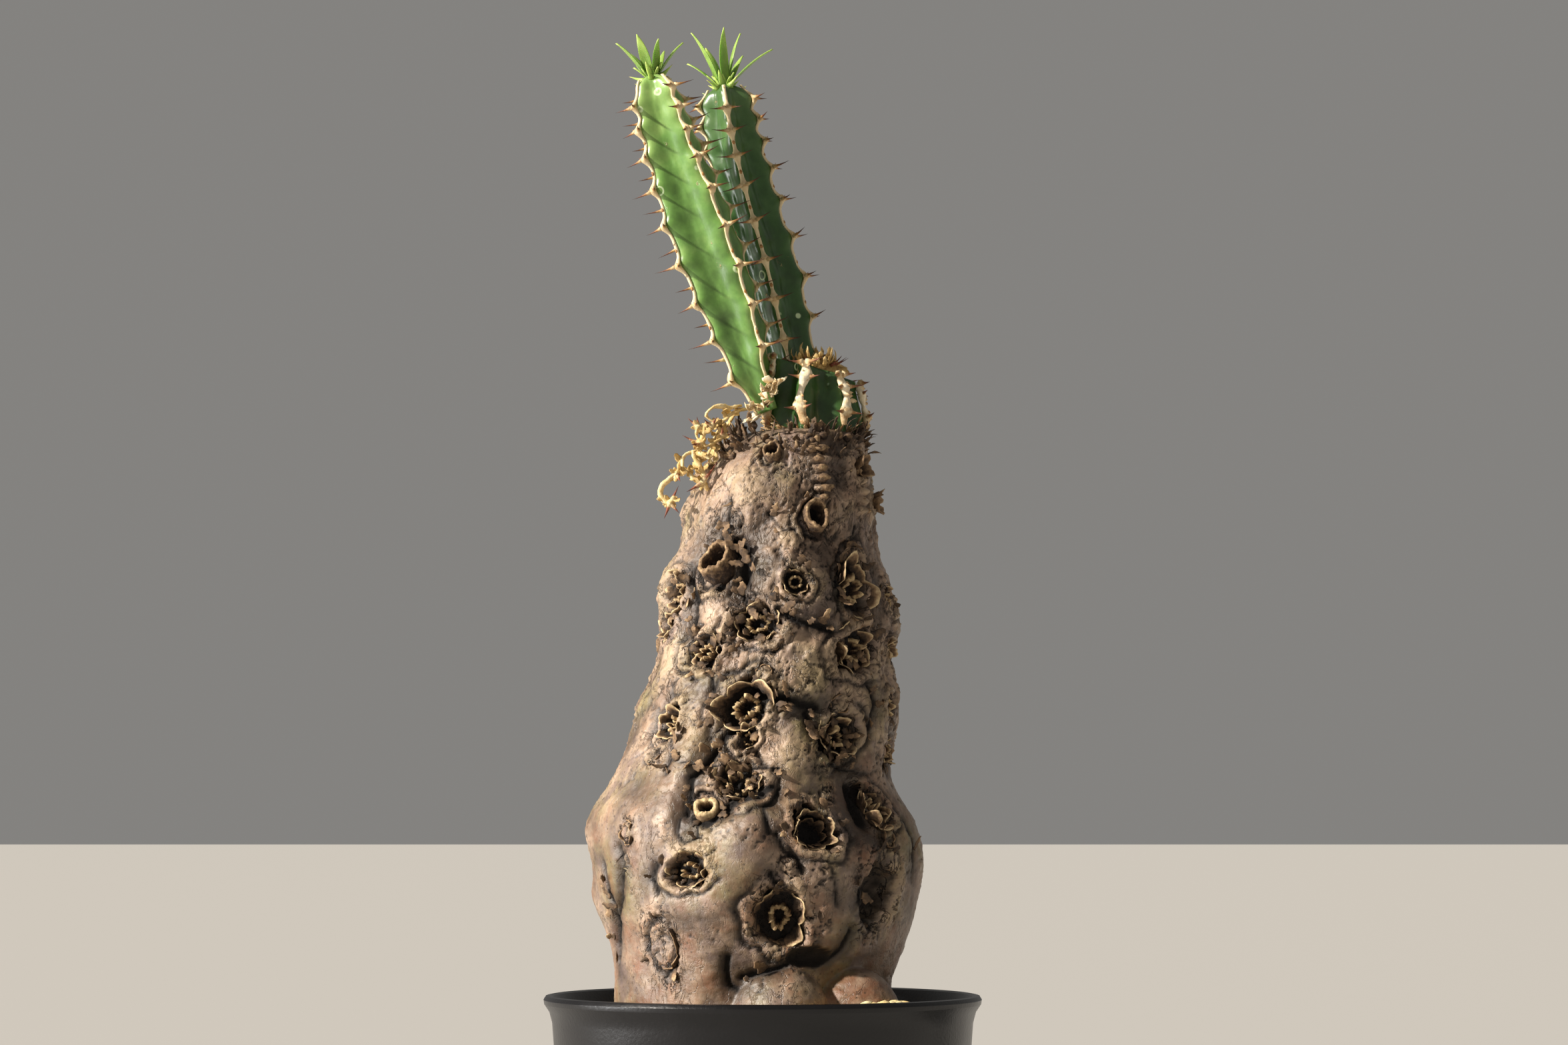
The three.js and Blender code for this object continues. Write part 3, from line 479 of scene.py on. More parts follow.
def add_blade(bm, root, direction, face, length, width, curl, thick=0.35, seed=0, cup=0.15, ragged=0.25,
              rows=6, sides=8, tints=(0.3, 0.9), point=0.45):
    """A leaf or scrap of bark: a thin lens-shaped blade that curls away towards face."""
    root = Vector(root)
    t = Vector(direction).normalized()
    n = (Vector(face) - t * Vector(face).dot(t)).normalized()
    w = t.cross(n)

    def place(turn, share, reach):
        bend = curl * share
        full = math.sin(math.pi * (0.16 + 0.835 * share)) ** point
        side = reach * math.sin(turn) * width * 0.5 * full
        jag = draw(seed * 3 + round(share * rows) * 5 + (2 if side > 0 else 0))
        side *= 1 - ragged * jag
        rise = reach * math.cos(turn) * thick * 0.5
        out = rise + cup * side * side / max(width, 0.1)
        out += ragged * 0.3 * rough((share * 3, side, 5), 1.5, seed)
        along = length * (math.sin(bend) / bend if abs(bend) > 0.05 else 1) * share
        lift = length * ((1 - math.cos(bend)) / bend if abs(bend) > 0.05 else 0) * share
        here = root + t * along + n * (lift + out) + w * side
        return here, tints[0] + (tints[1] - tints[0]) * share

    add_rod(bm, sides, rows, place)


def add_strand(bm, points, radius, seed=0, sides=6, tint=0.5, flat=0.55, step_length=0.9):
    """A dried strand: a flat, knotted ribbon along points."""
    path = Path([above_rim(p) for p in points])
    rows = max(3, round(path.length / step_length))
    stations = [(path.at(i / rows), path.axes(i / rows)) for i in range(rows + 1)]

    def place(turn, share, reach):
        at, (u, v, _) = stations[round(share * rows)]
        girth = radius * (1 + 0.55 * rough(at, 1.7, seed))
        twist = 2.6 * share + seed
        a, b = reach * girth * math.cos(turn), reach * girth * flat * math.sin(turn)
        x = a * math.cos(twist) - b * math.sin(twist)
        y = a * math.sin(twist) + b * math.cos(twist)
        wave = 0.45 * rough(at, 2.2, seed + 9)
        return at + u * (x + wave) + v * (y + wave * 0.6), tint + 0.25 * rough(at, 1.2, seed + 4)

    add_rod(bm, sides, rows, place)


# Bark


def radius_at(up):
    return through(TRUNK, up, 2)


def centre_at(up):
    return through(TRUNK, up, 1)


def bearing(across, up):
    """The bearing, round from the front, of a point seen from the front."""
    return math.asin(max(-0.985, min(0.985, float((across - centre_at(up)) / radius_at(up)))))


def all_scars():
    scars = [Scar(bearing(across, up), up, size, kind, i, stretch)
             for i, (across, up, size, kind, stretch) in enumerate(SCARS)]
    for column, degrees in enumerate(BACK_COLUMNS):
        for row in range(6):
            n = column * 7 + row
            up = 12 + BACK_ROW * (row + (column % 2) / 2) + 6 * (draw(n) - 0.5)
            if up > 143:
                continue
            size = 2.6 + 3.8 * draw(n + 50)
            open_kind = "torn" if draw(n + 95) < 0.45 else "cup"
            kind = "bud" if size < 3.6 else "tube" if draw(n + 90) < 0.25 else open_kind
            turn = math.radians(degrees + 9 * (draw(n + 20) - 0.5))
            scars.append(Scar(turn, up, size, kind, len(scars), 0.8 + 0.5 * draw(n + 33)))
    return scars


scars = all_scars()
swellings = [Swelling(bearing(across, up), up, width, height) for across, up, width, height in SWELLINGS]
swellings += [Swelling(s.turn + 0.3, s.up + 9, 9, 1.8) for s in scars[len(SCARS):]]


def spot(turn, up):
    """A plain place on the bark."""
    return Scar(turn, up, 0, "", 0, 1)


def around(turn, up, mark):
    """How far a point of the bark is from a mark, sideways and up."""
    apart = np.arctan2(np.sin(turn - mark.turn), np.cos(turn - mark.turn)) * radius_at(mark.up)
    return apart, up - mark.up


def relief(turn, up):
    """The bulges of the trunk and the dips at its scars."""
    out = np.zeros_like(turn * up)
    for s in swellings:
        apart, rise = around(turn, up, s)
        out = out + SWELL_GAIN * s.height * np.exp(-(apart**2 + rise**2) / s.width**2)
    for s in scars:
        apart, rise = around(turn, up, s)
        depth = (0.25 if s.kind == "bud" else 0.4) * s.size
        out = out - depth * np.exp(-(apart**2 + rise**2) / (1.6 * s.size) ** 2)
    return out


def rooted(turn, up, radius):
    """The trunk's radius with the roots raised from it and the hollow cut in it."""
    side = np.sin(turn)
    front = -np.cos(turn)
    centre = centre_at(up)

    def crossing(ball):
        x, y, z, a, b, c = ball
        p, q = (centre - x) / a, -y / b
        k = ((up - z) / c) ** 2
        along = (side / a) ** 2 + (front / b) ** 2
        half = p * side / a + q * front / b
        inside = half**2 - along * (p**2 + q**2 + k - 1)
        root = np.sqrt(np.maximum(inside, 0))
        return inside > 0, (-half - root) / along, (-half + root) / along

    for ball in ROOTS:
        hit, near, far = crossing(ball)
        share = np.clip(0.5 + 0.5 * (far - radius) / ROOT_BLEND, 0, 1)
        merged = radius + (far - radius) * share + ROOT_BLEND * share * (1 - share)
        radius = np.where(hit, radius + (merged - radius) * step(0, 8, far - near), radius)
    hit, near, far = crossing(ROOT_HOLLOW)
    cut = hit & (near > 0) & (near < radius) & (far > radius)
    return np.where(cut, np.maximum(near, radius - 5), radius), cut


def line_distance(x, y, points):
    """How far places are from a line through points."""
    nearest = np.full(x.shape, 1e9)
    for (ax, ay), (bx, by) in zip(points, points[1:]):
        dx, dy = bx - ax, by - ay
        t = np.clip(((x - ax) * dx + (y - ay) * dy) / (dx * dx + dy * dy), 0, 1)
        nearest = np.minimum(nearest, np.hypot(x - ax - t * dx, y - ay - t * dy))
    return nearest


def scar_marks(turn, up, wild):
    """What the scars do to the bark round them: how far it moves, how much painted shade its pits, moats and
    grooves get, how torn.
    """
    out = np.zeros_like(turn)
    shade = np.zeros_like(turn)
    torn = np.zeros_like(turn)
    for s in scars:
        apart, rise = around(turn, up, s)
        rise = rise / s.stretch
        distance = np.hypot(apart, rise)
        near = np.nonzero(distance < SCAR_REACH * s.size + 2)[0]
        d, phi, w = distance[near], np.arctan2(rise[near], apart[near]), wild[near]
        a, b, c = (FULL_TURN * draw(s.number * 5 + k) for k in range(3))
        uneven = 1 + 0.1 * np.sin(2 * phi + a) + 0.08 * np.sin(3 * phi + b) + 0.05 * np.sin(7 * phi + c)
        u = d / (s.size * uneven) + 0.1 * w
        crescent = step(-0.5, 0.3, np.sin(phi + b) + 0.6 * w)
        lip = np.exp(-(((u - 1.36) / 0.2) ** 2))
        moat = np.exp(-(((u - 1.75) / 0.12) ** 2)) * crescent
        # Each kind's dark is painted shade, laid into its pit, moat, groove or hollow.
        if s.kind in ("cup", "bowl", "torn"):
            deep = {"cup": 1.4, "bowl": 2.6, "torn": 1.0}[s.kind] + 0.3 * s.size
            pit = 1 - step(0.98, 1.14, u)
            core = 1 - step(0.1, 0.9, u)
            scrap = 1.1 * w * pit if s.kind == "torn" else 0
            move = -deep * pit - 0.15 * s.size * core + scrap + (0.35 + 0.07 * s.size) * lip - 0.7 * moat
            dark = np.maximum(pit * (1 if s.kind == "bowl" else 0.93), moat * 0.8)
        elif s.kind == "hollow":
            pit = 1 - step(0.7, 1.05, u)
            layers = np.floor(4 * (1 - u) + 0.8 * w) / 4
            move = -4.4 * pit - 1.6 * np.clip(layers, 0, 1) + 0.5 * lip
            dark = pit * (0.75 + 0.25 * np.clip(2 * w, -1, 1))
        elif s.kind in ("tube", "thick", "trumpet"):
            pit = 1 - step(0.45, 0.8, u)
            root = np.exp(-(((u - 1.16) / 0.17) ** 2))
            move = -1.8 * pit + 0.5 * lip - 1.3 * root * (0.3 + 0.7 * crescent) - 0.5 * moat
            dark = np.maximum(pit, np.maximum(root * (0.3 + 0.7 * crescent), moat * 0.6))
        else:
            disc = 1 - step(0.8, 1.1, u)
            rings = np.sin(d * FULL_TURN / 1.4 + w)
            edge = np.exp(-(((u - 1.1) / 0.14) ** 2))
            move = (0.4 + 0.3 * rings + 0.5 * w) * disc - 0.8 * edge
            dark = np.maximum(edge * 0.9 * crescent, disc * (0.25 - 0.25 * rings))
        out[near] += move
        shade[near] = np.maximum(shade[near], dark)
        torn[near] = np.maximum(torn[near], 1 - step(1.1, 2.3, u))
    return out, shade, torn


def bark_point(turn, up, proud=0.0):
    r = float(radius_at(up) + relief(turn, up)) + proud
    return Vector((float(centre_at(up)) + r * math.sin(turn), -r * math.cos(turn), POT_HEIGHT + up))


def seat(mark, lift=0.0):
    """A frame on the bark at a mark: sideways, up over it and straight out."""
    turn, up = mark.turn, mark.up
    level = bark_point(turn + 0.04, up) - bark_point(turn - 0.04, up)
    normal = level.cross(bark_point(turn, up + 2) - bark_point(turn, up - 2)).normalized()
    normal = (normal + Vector((0, 0, lift))).normalized()
    side = Vector((0, 0, 1)).cross(normal).normalized()
    over = normal.cross(side)
    seated = Matrix((side, over, normal)).transposed().to_4x4()
    seated.translation = bark_point(turn, up)
    return seated


def bark_mesh(columns, rows):
    """The trunk's skin: an upright line spun full circle, closed at its ends, then moved by its relief."""
    total = SOIL_ROWS + rows
    bm = new_shape()
    line = [bm.verts.new((0, -1, row)) for row in range(total + 1)]
    edges = [bm.edges.new(pair) for pair in zip(line, line[1:])]
    spin_round(bm, line, edges, columns)
    ends = bmesh.ops.holes_fill(bm, edges=[e for e in bm.edges if e.is_boundary], sides=0)["faces"]
    bmesh.ops.poke(bm, faces=ends)
    bmesh.ops.recalc_face_normals(bm, faces=bm.faces)

    co = np.array([v.co for v in bm.verts])
    even = np.arctan2(co[:, 0], -co[:, 1])
    turn = even - FRONT_BIAS * np.sin(even)
    up = np.interp(co[:, 2], [0, SOIL_ROWS, total], [TRUNK[0][0], BARK_FROM, TRUNK[-1][0]])
    reach = np.hypot(co[:, 0], co[:, 1]).round()
    plain = radius_at(up)
    drum = np.stack([plain * np.sin(turn), -plain * np.cos(turn), up], axis=1)

    lumps = field(drum, 9, 3, 1)
    wild = field(drum, 3.2, 3, 2)
    fine = field(drum, 1.3, 3, 3)
    wander = field(drum, 15, 2, 4)
    plates = np.abs(field(drum + np.stack([wild, fine, wild], axis=1), 7, 2, 5, 1.7))
    wrinkles = field(drum, 2.2, 2, 6, 0.4)

    warped = drum + 1.6 * np.stack([wild, fine, wild], axis=1)
    terrace = 3.2 * field(warped, 12, 3, 8, 1.6)
    ledge = terrace - np.floor(terrace)

    marks, shade, torn = scar_marks(turn, up, wild)
    rugged = 0.25 + 0.75 * step(RUGGED_FROM, RUGGED_TO, up)
    worn = np.clip(0.2 + 0.55 * rugged + 0.8 * wander + 0.8 * torn, 0, 1)
    plate_line = np.exp(-((plates / 0.03) ** 2)) * step(0.4, 0.8, worn)
    detail = (0.35 + 0.15 * rugged) * lumps + (0.08 + 0.2 * rugged + 0.45 * torn) * wild
    detail += (0.05 + 0.12 * rugged + 0.25 * torn) * fine + 0.12 * wrinkles * (1 - torn)
    detail += marks - 0.8 * plate_line - 0.5
    peeling = np.clip(rugged + 0.5 * torn, 0, 1) * worn
    detail += peeling * (0.6 * (np.floor(terrace) + step(0, 0.1, ledge)) + 0.35 * ledge)
    # Painted shade along the plate lines and under the ledges of the peeling bark.
    shade = np.maximum(shade, np.maximum(0.8 * plate_line, 0.75 * peeling * np.exp(-((ledge / 0.07) ** 2))))

    for width, depth, points in FOLDS:
        spread = float(radius_at(np.mean([p[1] for p in points])))
        line = [(bearing(a, h) * spread, h) for a, h in points]
        close = np.nonzero(np.abs(up - line[len(line) // 2][1]) < 26)[0]
        d = line_distance(turn[close] * spread, up[close], line) + 0.3 * wild[close]
        crack_shade = np.exp(-((d / (0.8 * width)) ** 2))
        valley = np.exp(-((d / (2.2 * width + 1)) ** 2))
        detail[close] -= 0.75 * depth * crack_shade + 0.5 * depth * valley
        # Painted shade, dark deep in the crack and lighter across its valley.
        shade[close] = np.maximum(shade[close], np.clip(crack_shade * (0.7 + 0.3 * depth) + 0.24 * valley, 0, 1))

    for number, (across, low, high) in enumerate(KNUCKLES):
        height = low
        while height <= high:
            knob_turn = bearing(across + 1.2 * draw(number * 9 + height), height)
            apart, rise = around(turn, up, spot(knob_turn, height))
            bump = np.exp(-((apart / 2.2) ** 2 + (rise / 1.05) ** 2) ** 1.5)
            detail += 1.9 * bump - 0.5 * np.exp(-((apart / 3) ** 2 + ((rise - 1.35) / 0.4) ** 2))
            height += KNUCKLE_STEP

    buried = step(-9, -5, up) * (1 - step(152.5, 154.5, up))
    radius, cut = rooted(turn, up, plain + relief(turn, up))
    radius = radius + detail * buried * np.where(cut, 0.3, 1.0)
    # Painted shade in the hollow over the roots.
    shade = np.where(cut, 0.9, shade) * buried
    edge = (0 < co[:, 2]) & (co[:, 2] < total)
    height = up + np.where(edge, 0.25 * fine * buried, 0)
    centre = centre_at(up)
    x = np.where(reach > 0, centre + radius * np.sin(turn), centre)
    y = np.where(reach > 0, -radius * np.cos(turn), 0)
    # The bark keeps its painted shade, its torn share and its crest; the finish turns the crest into painted
    # highlight on raised bark and painted shade on sunken bark.
    layers = {name: bm.verts.layers.float.new(name) for name in ("shade", "torn", "crest")}
    values = {
        "shade": shade,
        "torn": np.maximum(torn, 0.65 * rugged * worn),
        "crest": np.clip(0.5 + 0.4 * detail, 0, 1),
    }
    for i, vertex in enumerate(bm.verts):
        vertex.co = (x[i], y[i], POT_HEIGHT + height[i])
        for name, layer in layers.items():
            vertex[layer] = values[name][i]
    return bm


def add_ring(bm, at, scar, radius, thick, low, high, flare, seed, sides, tints, petals=6, notch=0.7,
             crumple=0.12, rows=5, edge=3.0, uneven=0.55):
    """A thin wall round a scar, torn into petals that curl out, pale at the torn edge, with painted shade low
    down and on its inner face.
    """
    a, b = FULL_TURN * draw(seed), FULL_TURN * draw(seed + 1)

    def place(co):
        turn = math.atan2(co.y, co.x)
        outer = math.hypot(co.x, co.y) > 1.5
        h = co.z
        direction = spoke(turn)
        phase = (turn + math.pi) / FULL_TURN * petals + draw(seed + 2)
        phase += 0.35 * rough(direction * 1.3, 1, seed)
        petal = math.floor(phase) % petals
        within = 1 - abs(2 * (phase - math.floor(phase)) - 1) ** 1.6
        tall = (1 - notch + notch * within**0.7) * (1 - uneven + 1.5 * uneven * draw(seed + 11 + petal))
        top = low + (high - low) * max(0.15, tall + 0.12 * rough(direction * petals, 1, seed + 3))
        z = low + h * (top - low)
        shape = 1 + 0.09 * math.sin(2 * turn + a) + 0.05 * math.sin(3 * turn + b)
        opened = flare * h * h * (0.3 + 1.4 * draw(seed + 31 + petal)) * (0.4 + 0.6 * within)
        r = radius * shape * (1 + opened) + (0.5 if outer else -0.5) * thick * (1 - 0.5 * h)
        r += crumple * radius * rough(direction * petals * 0.8 + Vector((0, 0, h * 2)), 1, seed + 7)
        r += 0.5 * crumple * rough(direction * petals * 3 + Vector((0, 0, h * 3)), 1, seed + 8)
        # The tint runs from painted shade at the foot of the wall up to the pale torn edge.
        tint = tints[0] + (tints[1] - tints[0]) * h**edge
        point = Vector((r * math.cos(turn), r * math.sin(turn) * scar.stretch, z))
        # The inner face is darker again: painted shade inside the scar.
        return at @ point, tint if outer else tint * (0.3 + 0.7 * h)

    add_part(bm, wall(sides, rows), place)


def add_knob(bm, at, half, seed, tint):
    """A hard knob on the bark, wider than it is high, with a dull top."""

    def place(co):
        bulge = 1 + 0.6 * rough(co * 1.3, 1, seed)
        point = Vector((co.x * half[0], co.y * half[1], co.z * half[2])) * bulge
        return at @ point, tint + 0.2 * co.z

    add_part(bm, pebble(2), place)


# Finishes


def linear(code):
    """A colour from its sRGB hex value; what is a colour already stays as it is."""
    if not isinstance(code, str):
        return code
    parts = [int(code[i:i + 2], 16) / 255 for i in (1, 3, 5)]
    return tuple(p / 12.92 if p <= 0.04045 else ((p + 0.055) / 1.055) ** 2.4 for p in parts) + (1.0,)


def per(size):
    """The texture scale whose pattern repeats about every size millimetres."""
    return 1 / (size * MM)


def set_inputs(tree, node, inputs):
    """Gives a node's sockets their values or links."""
    for key, value in inputs.items():
        if isinstance(value, bpy.types.NodeSocket):
            tree.links.new(value, node.inputs[key])
        else:
            node.inputs[key].default_value = value


def add_node(tree, kind, inputs=(), **settings):
    """Adds a node with its settings and what its sockets hold."""
    made = tree.nodes.new(kind)
    for name, value in settings.items():
        setattr(made, name, value)
    set_inputs(tree, made, dict(inputs))
    return made


def new_finish(name):
    """A new material, its node tree, its shader, and the place on the object that patterns are read at."""
    material = bpy.data.materials.new(name)
    material.use_nodes = True
    tree = material.node_tree
    place = add_node(tree, "ShaderNodeTexCoord").outputs["Object"]
    return material, tree, tree.nodes["Principled BSDF"], place


def kept_value(tree, name):
    """A value kept at each vertex of the shape."""
    return add_node(tree, "ShaderNodeAttribute", attribute_name=name).outputs["Fac"]


def clouds(tree, place, size, detail=3, roughness=0.5, distortion=0.0):
    """Fractal noise whose lumps are of a size in millimetres."""
    return add_node(tree, "ShaderNodeTexNoise", {
        "Vector": place, "Scale": per(size), "Detail": detail, "Roughness": roughness,
        "Distortion": distortion}).outputs["Fac"]


def between(tree, value, low, high, start=0.0, end=1.0):
    """Runs from start to end while a value runs from low to high."""
    return add_node(tree, "ShaderNodeMapRange", {
        "Value": value, "From Min": low, "From Max": high, "To Min": start, "To Max": end}).outputs[0]


def maths(tree, operation, a, b=0.0):
    return add_node(tree, "ShaderNodeMath", {0: a, 1: b}, operation=operation).outputs[0]


def off_line(tree, value, line):
    """How far a value is from a line, either way."""
    return maths(tree, "ABSOLUTE", maths(tree, "SUBTRACT", value, line))


def coated(tree, share, under, colour):
    """A share of a colour laid over another."""
    mix = add_node(tree, "ShaderNodeMix", {0: share, 6: under, 7: linear(colour)}, data_type="RGBA")
    return mix.outputs[2]


def ramp(tree, value, stops):
    """The colour that a value has between stops."""
    made = add_node(tree, "ShaderNodeValToRGB", {"Fac": value})
    elements = made.color_ramp.elements
    for i, (place, colour) in enumerate(stops):
        element = elements[i] if i < 2 else elements.new(place)
        element.position = place
        element.color = linear(colour)
    return made.outputs["Color"]


def mottled_tint(tree, pattern, swing):
    """The tint of the shape, moved up and down by a pattern."""
    return maths(tree, "ADD", kept_value(tree, "tint"), between(tree, pattern, 0.3, 0.7, -swing, swing))


def bumped(tree, height, strength, depth, inputs=()):
    """The surface roughened by a height, whose full rise is a depth in millimetres."""
    return add_node(tree, "ShaderNodeBump", {
        "Height": height, "Strength": strength, "Distance": depth * MM, **dict(inputs)}).outputs["Normal"]


def bark_finish(settings):
    """Living bark stretched over the bulges: silvery brown, olive film, rust low down, painted highlight on
    raised bark and painted shade on sunken bark, cracks, pits and hollows.
    """
    material, tree, shader, place = new_finish("stretched_bark")
    cloud = clouds(tree, place, 15, 8, 0.7)
    colour = ramp(tree, cloud, [
        (0.3, "#514135"), (0.43, "#836d5a"), (0.55, settings.bark_light), (0.7, "#c6aa90"),
    ])
    film = between(tree, clouds(tree, place, 24, 4, distortion=0.4), 0.5, 0.66, end=0.6)
    colour = coated(tree, film, colour, "#837c49")
    stain = clouds(tree, place, 11, 5, 0.7)
    height = add_node(tree, "ShaderNodeSeparateXYZ", {"Vector": place}).outputs["Z"]
    lower = between(tree, height, 190 * MM, 105 * MM, 0.25, 1.0)
    rust = maths(tree, "MULTIPLY", between(tree, stain, 0.47, 0.66, end=0.75), lower)
    colour = coated(tree, rust, colour, "#86502f")
    colour = coated(tree, between(tree, stain, 0.47, 0.36, end=0.6), colour, "#75625e")

    # Hairline cracks a few millimetres apart, drawn wider than they are so that they show.
    upright = add_node(tree, "ShaderNodeMapping", {"Vector": place, "Scale": (1, 1, 0.55)}).outputs["Vector"]
    web = off_line(tree, clouds(tree, upright, 4.5, 4, 0.6, 0.6), 0.5)
    torn = kept_value(tree, "torn")
    where = maths(tree, "MAXIMUM", torn, between(tree, cloud, 0.44, 0.58, end=0.6))
    hairs = maths(tree, "MULTIPLY", between(tree, web, 0.004, 0.022, 1.0, 0.0), where)
    colour = coated(tree, hairs, colour, "#33251a")

    # Dark pores under a millimetre across, then painted highlight on the raised bark and painted shade on the
    # sunken bark, and the painted shade of cracks, pits and hollows.
    pores = add_node(tree, "ShaderNodeTexVoronoi", {"Vector": place, "Scale": per(1.9)}).outputs["Distance"]
    colour = coated(tree, between(tree, pores, 0.13, 0.2, 0.7, 0.0), colour, "#4a3a2c")
    crest = kept_value(tree, "crest")
    colour = coated(tree, between(tree, crest, 0.5, 0.95, end=0.5), colour, "#b59c7b")
    colour = coated(tree, between(tree, crest, 0.46, 0.08, end=0.7), colour, "#2c2017")
    shade = kept_value(tree, "shade")
    grain = maths(tree, "ADD", clouds(tree, place, 1.4, 5, 0.65), maths(tree, "MULTIPLY", hairs, -2.0))
    # The crack colour goes on as painted shade wherever the kept shade is.
    set_inputs(tree, shader, {
        "Base Color": coated(tree, shade, colour, settings.crack_shade),
        "Roughness": maths(tree, "MAXIMUM", between(tree, cloud, 0.3, 0.7, 0.52, 0.36), shade),
        "Normal": bumped(tree, grain, between(tree, torn, 0, 1, 0.35, 0.9), 0.6),
    })
    return material


def tinted_finish(name, stops, grain_size, strength, roughness, mottle=0.25):
    """A dry plant tissue whose colour runs along the tint of its shape, mottled at its grain size."""
    material, tree, shader, place = new_finish(name)
    grain = clouds(tree, place, grain_size, 5, 0.65)
    set_inputs(tree, shader, {
        "Base Color": ramp(tree, mottled_tint(tree, grain, mottle), stops),
        "Roughness": roughness,
        "Normal": bumped(tree, grain, strength, 0.3),
    })
    return material


def papery_finish():
    """Dead outer bark, thin as paper: near black at its lowest tint, which is painted shade deep in the
    scars, warm brown where it joins, cream at its torn edge.
    """
    return tinted_finish("papery_bark", [
        (0.0, "#1f150e"), (0.35, "#57432f"), (0.65, "#8f7253"), (1.0, "#d3ba8f"),
    ], 1.6, 0.6, 0.8)


def woody_finish():
    """Dry wood of the old branch traces: golden and fibrous outside, with painted shade nearly black down the
    hole.
    """
    return tinted_finish("branch_trace_wood", [
        (0.0, "#120b07"), (0.3, "#413024"), (0.62, "#8d7152"), (1.0, "#d9bf90"),
    ], 1.2, 0.8, 0.85)


def cork_finish(settings):
    """Rib cork: dry cream tan, browner at the shields, with horn-brown thorns that darken to the tip."""
    return tinted_finish("rib_cork_and_thorn", [
        (0.0, settings.cork), (0.22, "#d9bf90"), (0.4, "#a9793f"), (0.58, "#6a3a24"), (1.0, "#1d110d"),
    ], 1.1, 0.5, 0.55, mottle=0.07)


def scarred_cork_finish():
    """Old thick cork on the stump: bleached cream with brown cracks and thorns."""
    return tinted_finish("scarred_cork_and_thorn", [
        (0.0, "#efe2c6"), (0.22, "#dcc59a"), (0.4, "#a67c4b"), (0.62, "#7a4530"), (1.0, "#3a2018"),
    ], 1.3, 0.8, 0.7, mottle=0.13)


def dried_finish():
    """Dead stem tissue dried to a stiff lace: golden straw with brown stains and red-brown thorns."""
    return tinted_finish("dried_tissue", [
        (0.0, "#6d5230"), (0.22, "#a9874a"), (0.45, "#d2b274"), (0.6, "#e4cf9c"), (0.78, "#8c4a30"),
        (1.0, "#451f16"),
    ], 1.3, 0.7, 0.7, mottle=0.14)


def grain_finish():
    """Pumice and baked clay grains: chalky pale yellow with tan and dark grains between, and pits."""
    return tinted_finish("pumice_and_clay_grains", [
        (0.0, "#3a2c22"), (0.3, "#8a6a44"), (0.55, "#d6b878"), (1.0, "#f0e0ae"),
    ], 1.1, 0.9, 0.95, mottle=0.1)


def skin_finish(colour, name="waxy_green_skin"):
    """Smooth waxy green skin, lighter along the ribs and tip, with pale droplet rings and scabs."""

    def toned(red, green, blue):
        return (red * colour[0], green * colour[1], blue * colour[2], 1)

    material, tree, shader, place = new_finish(name)
    cloud = clouds(tree, place, 7, 4, 0.6)
    green = ramp(tree, mottled_tint(tree, cloud, 0.22), [
        (0.0, toned(0.35, 0.35, 0.35)), (0.4, colour), (0.75, toned(2.0, 1.55, 2.0)),
        (1.0, toned(3.1, 2.1, 3.6)),
    ])

    # Droplet rings in a third of the cells, which are about 5.5 mm across.
    cells = add_node(tree, "ShaderNodeTexVoronoi", {"Vector": place, "Scale": per(5.5)})
    chosen = add_node(tree, "ShaderNodeSeparateColor", {"Color": cells.outputs["Color"]})
    picked = maths(tree, "GREATER_THAN", chosen.outputs[0], 0.66)
    radius = between(tree, chosen.outputs[1], 0.0, 1.0, 0.03, 0.24)
    ring = between(tree, off_line(tree, cells.outputs["Distance"], radius), 0.02, 0.055, 0.85, 0.0)
    green = coated(tree, maths(tree, "MULTIPLY", ring, picked), green, "#c9dcae")

    # Brown scabs up to 2 mm across.
    scab = between(tree, clouds(tree, place, 5, 5, 0.7), 0.66, 0.7, end=0.9)
    smooth = bumped(tree, cloud, 0.25, 0.5)
    set_inputs(tree, shader, {
        "Base Color": coated(tree, scab, green, "#a08a5e"),
        "Roughness": 0.3,
        "Subsurface Weight": 0.12,
        "Subsurface Radius": (1.2 * MM, 2 * MM, 0.6 * MM),
        "Subsurface Scale": 1.0,
        "Normal": bumped(tree, scab, 0.5, 0.3, {"Normal": smooth}),
    })
    return material


def leaf_finish(settings):
    """Soft young leaves: clear yellow green, translucent, a little darker and duller at the base."""
    material, tree, shader, place = new_finish("young_leaf")
    mottle = clouds(tree, place, 3)
    set_inputs(tree, shader, {
        "Base Color": ramp(tree, mottled_tint(tree, mottle, 0.12), [
            (0.0, "#50772f"), (0.5, settings.leaf), (0.9, "#b9cf6a"), (1.0, "#c9b56a"),
        ]),
        "Roughness": 0.42,
        "Subsurface Weight": 0.25,
        "Subsurface Radius": (1 * MM, 1.8 * MM, 0.5 * MM),
        "Subsurface Scale": 1.0,
        "Normal": bumped(tree, mottle, 0.15, 0.2),
    })
    return material


def plastic_finish(settings):
    """Moulded black polypropylene: satin, with the fine orange peel and faint dust of a nursery pot."""
    material, tree, shader, place = new_finish("moulded_polypropylene")
    dust = clouds(tree, place, 14, 6, 0.7)
    set_inputs(tree, shader, {
        "Base Color": coated(tree, between(tree, dust, 0.5, 0.8, end=0.05), settings.pot, "#4a4748"),
        "Roughness": between(tree, dust, 0.3, 0.7, 0.27, 0.34),
        "Specular IOR Level": 0.42,
        "Normal": bumped(tree, clouds(tree, place, 0.9), 0.5, 0.12),
    })
    return material


def floor_finish(settings):
    """Matt studio paper: plain and pale."""
    material, tree, shader, place = new_finish("studio_paper")
    set_inputs(tree, shader, {
        "Base Color": settings.floor,
        "Roughness": 0.9,
        "Normal": bumped(tree, clouds(tree, place, 3), 0.05, 0.1),
    })
    return material


# Settings


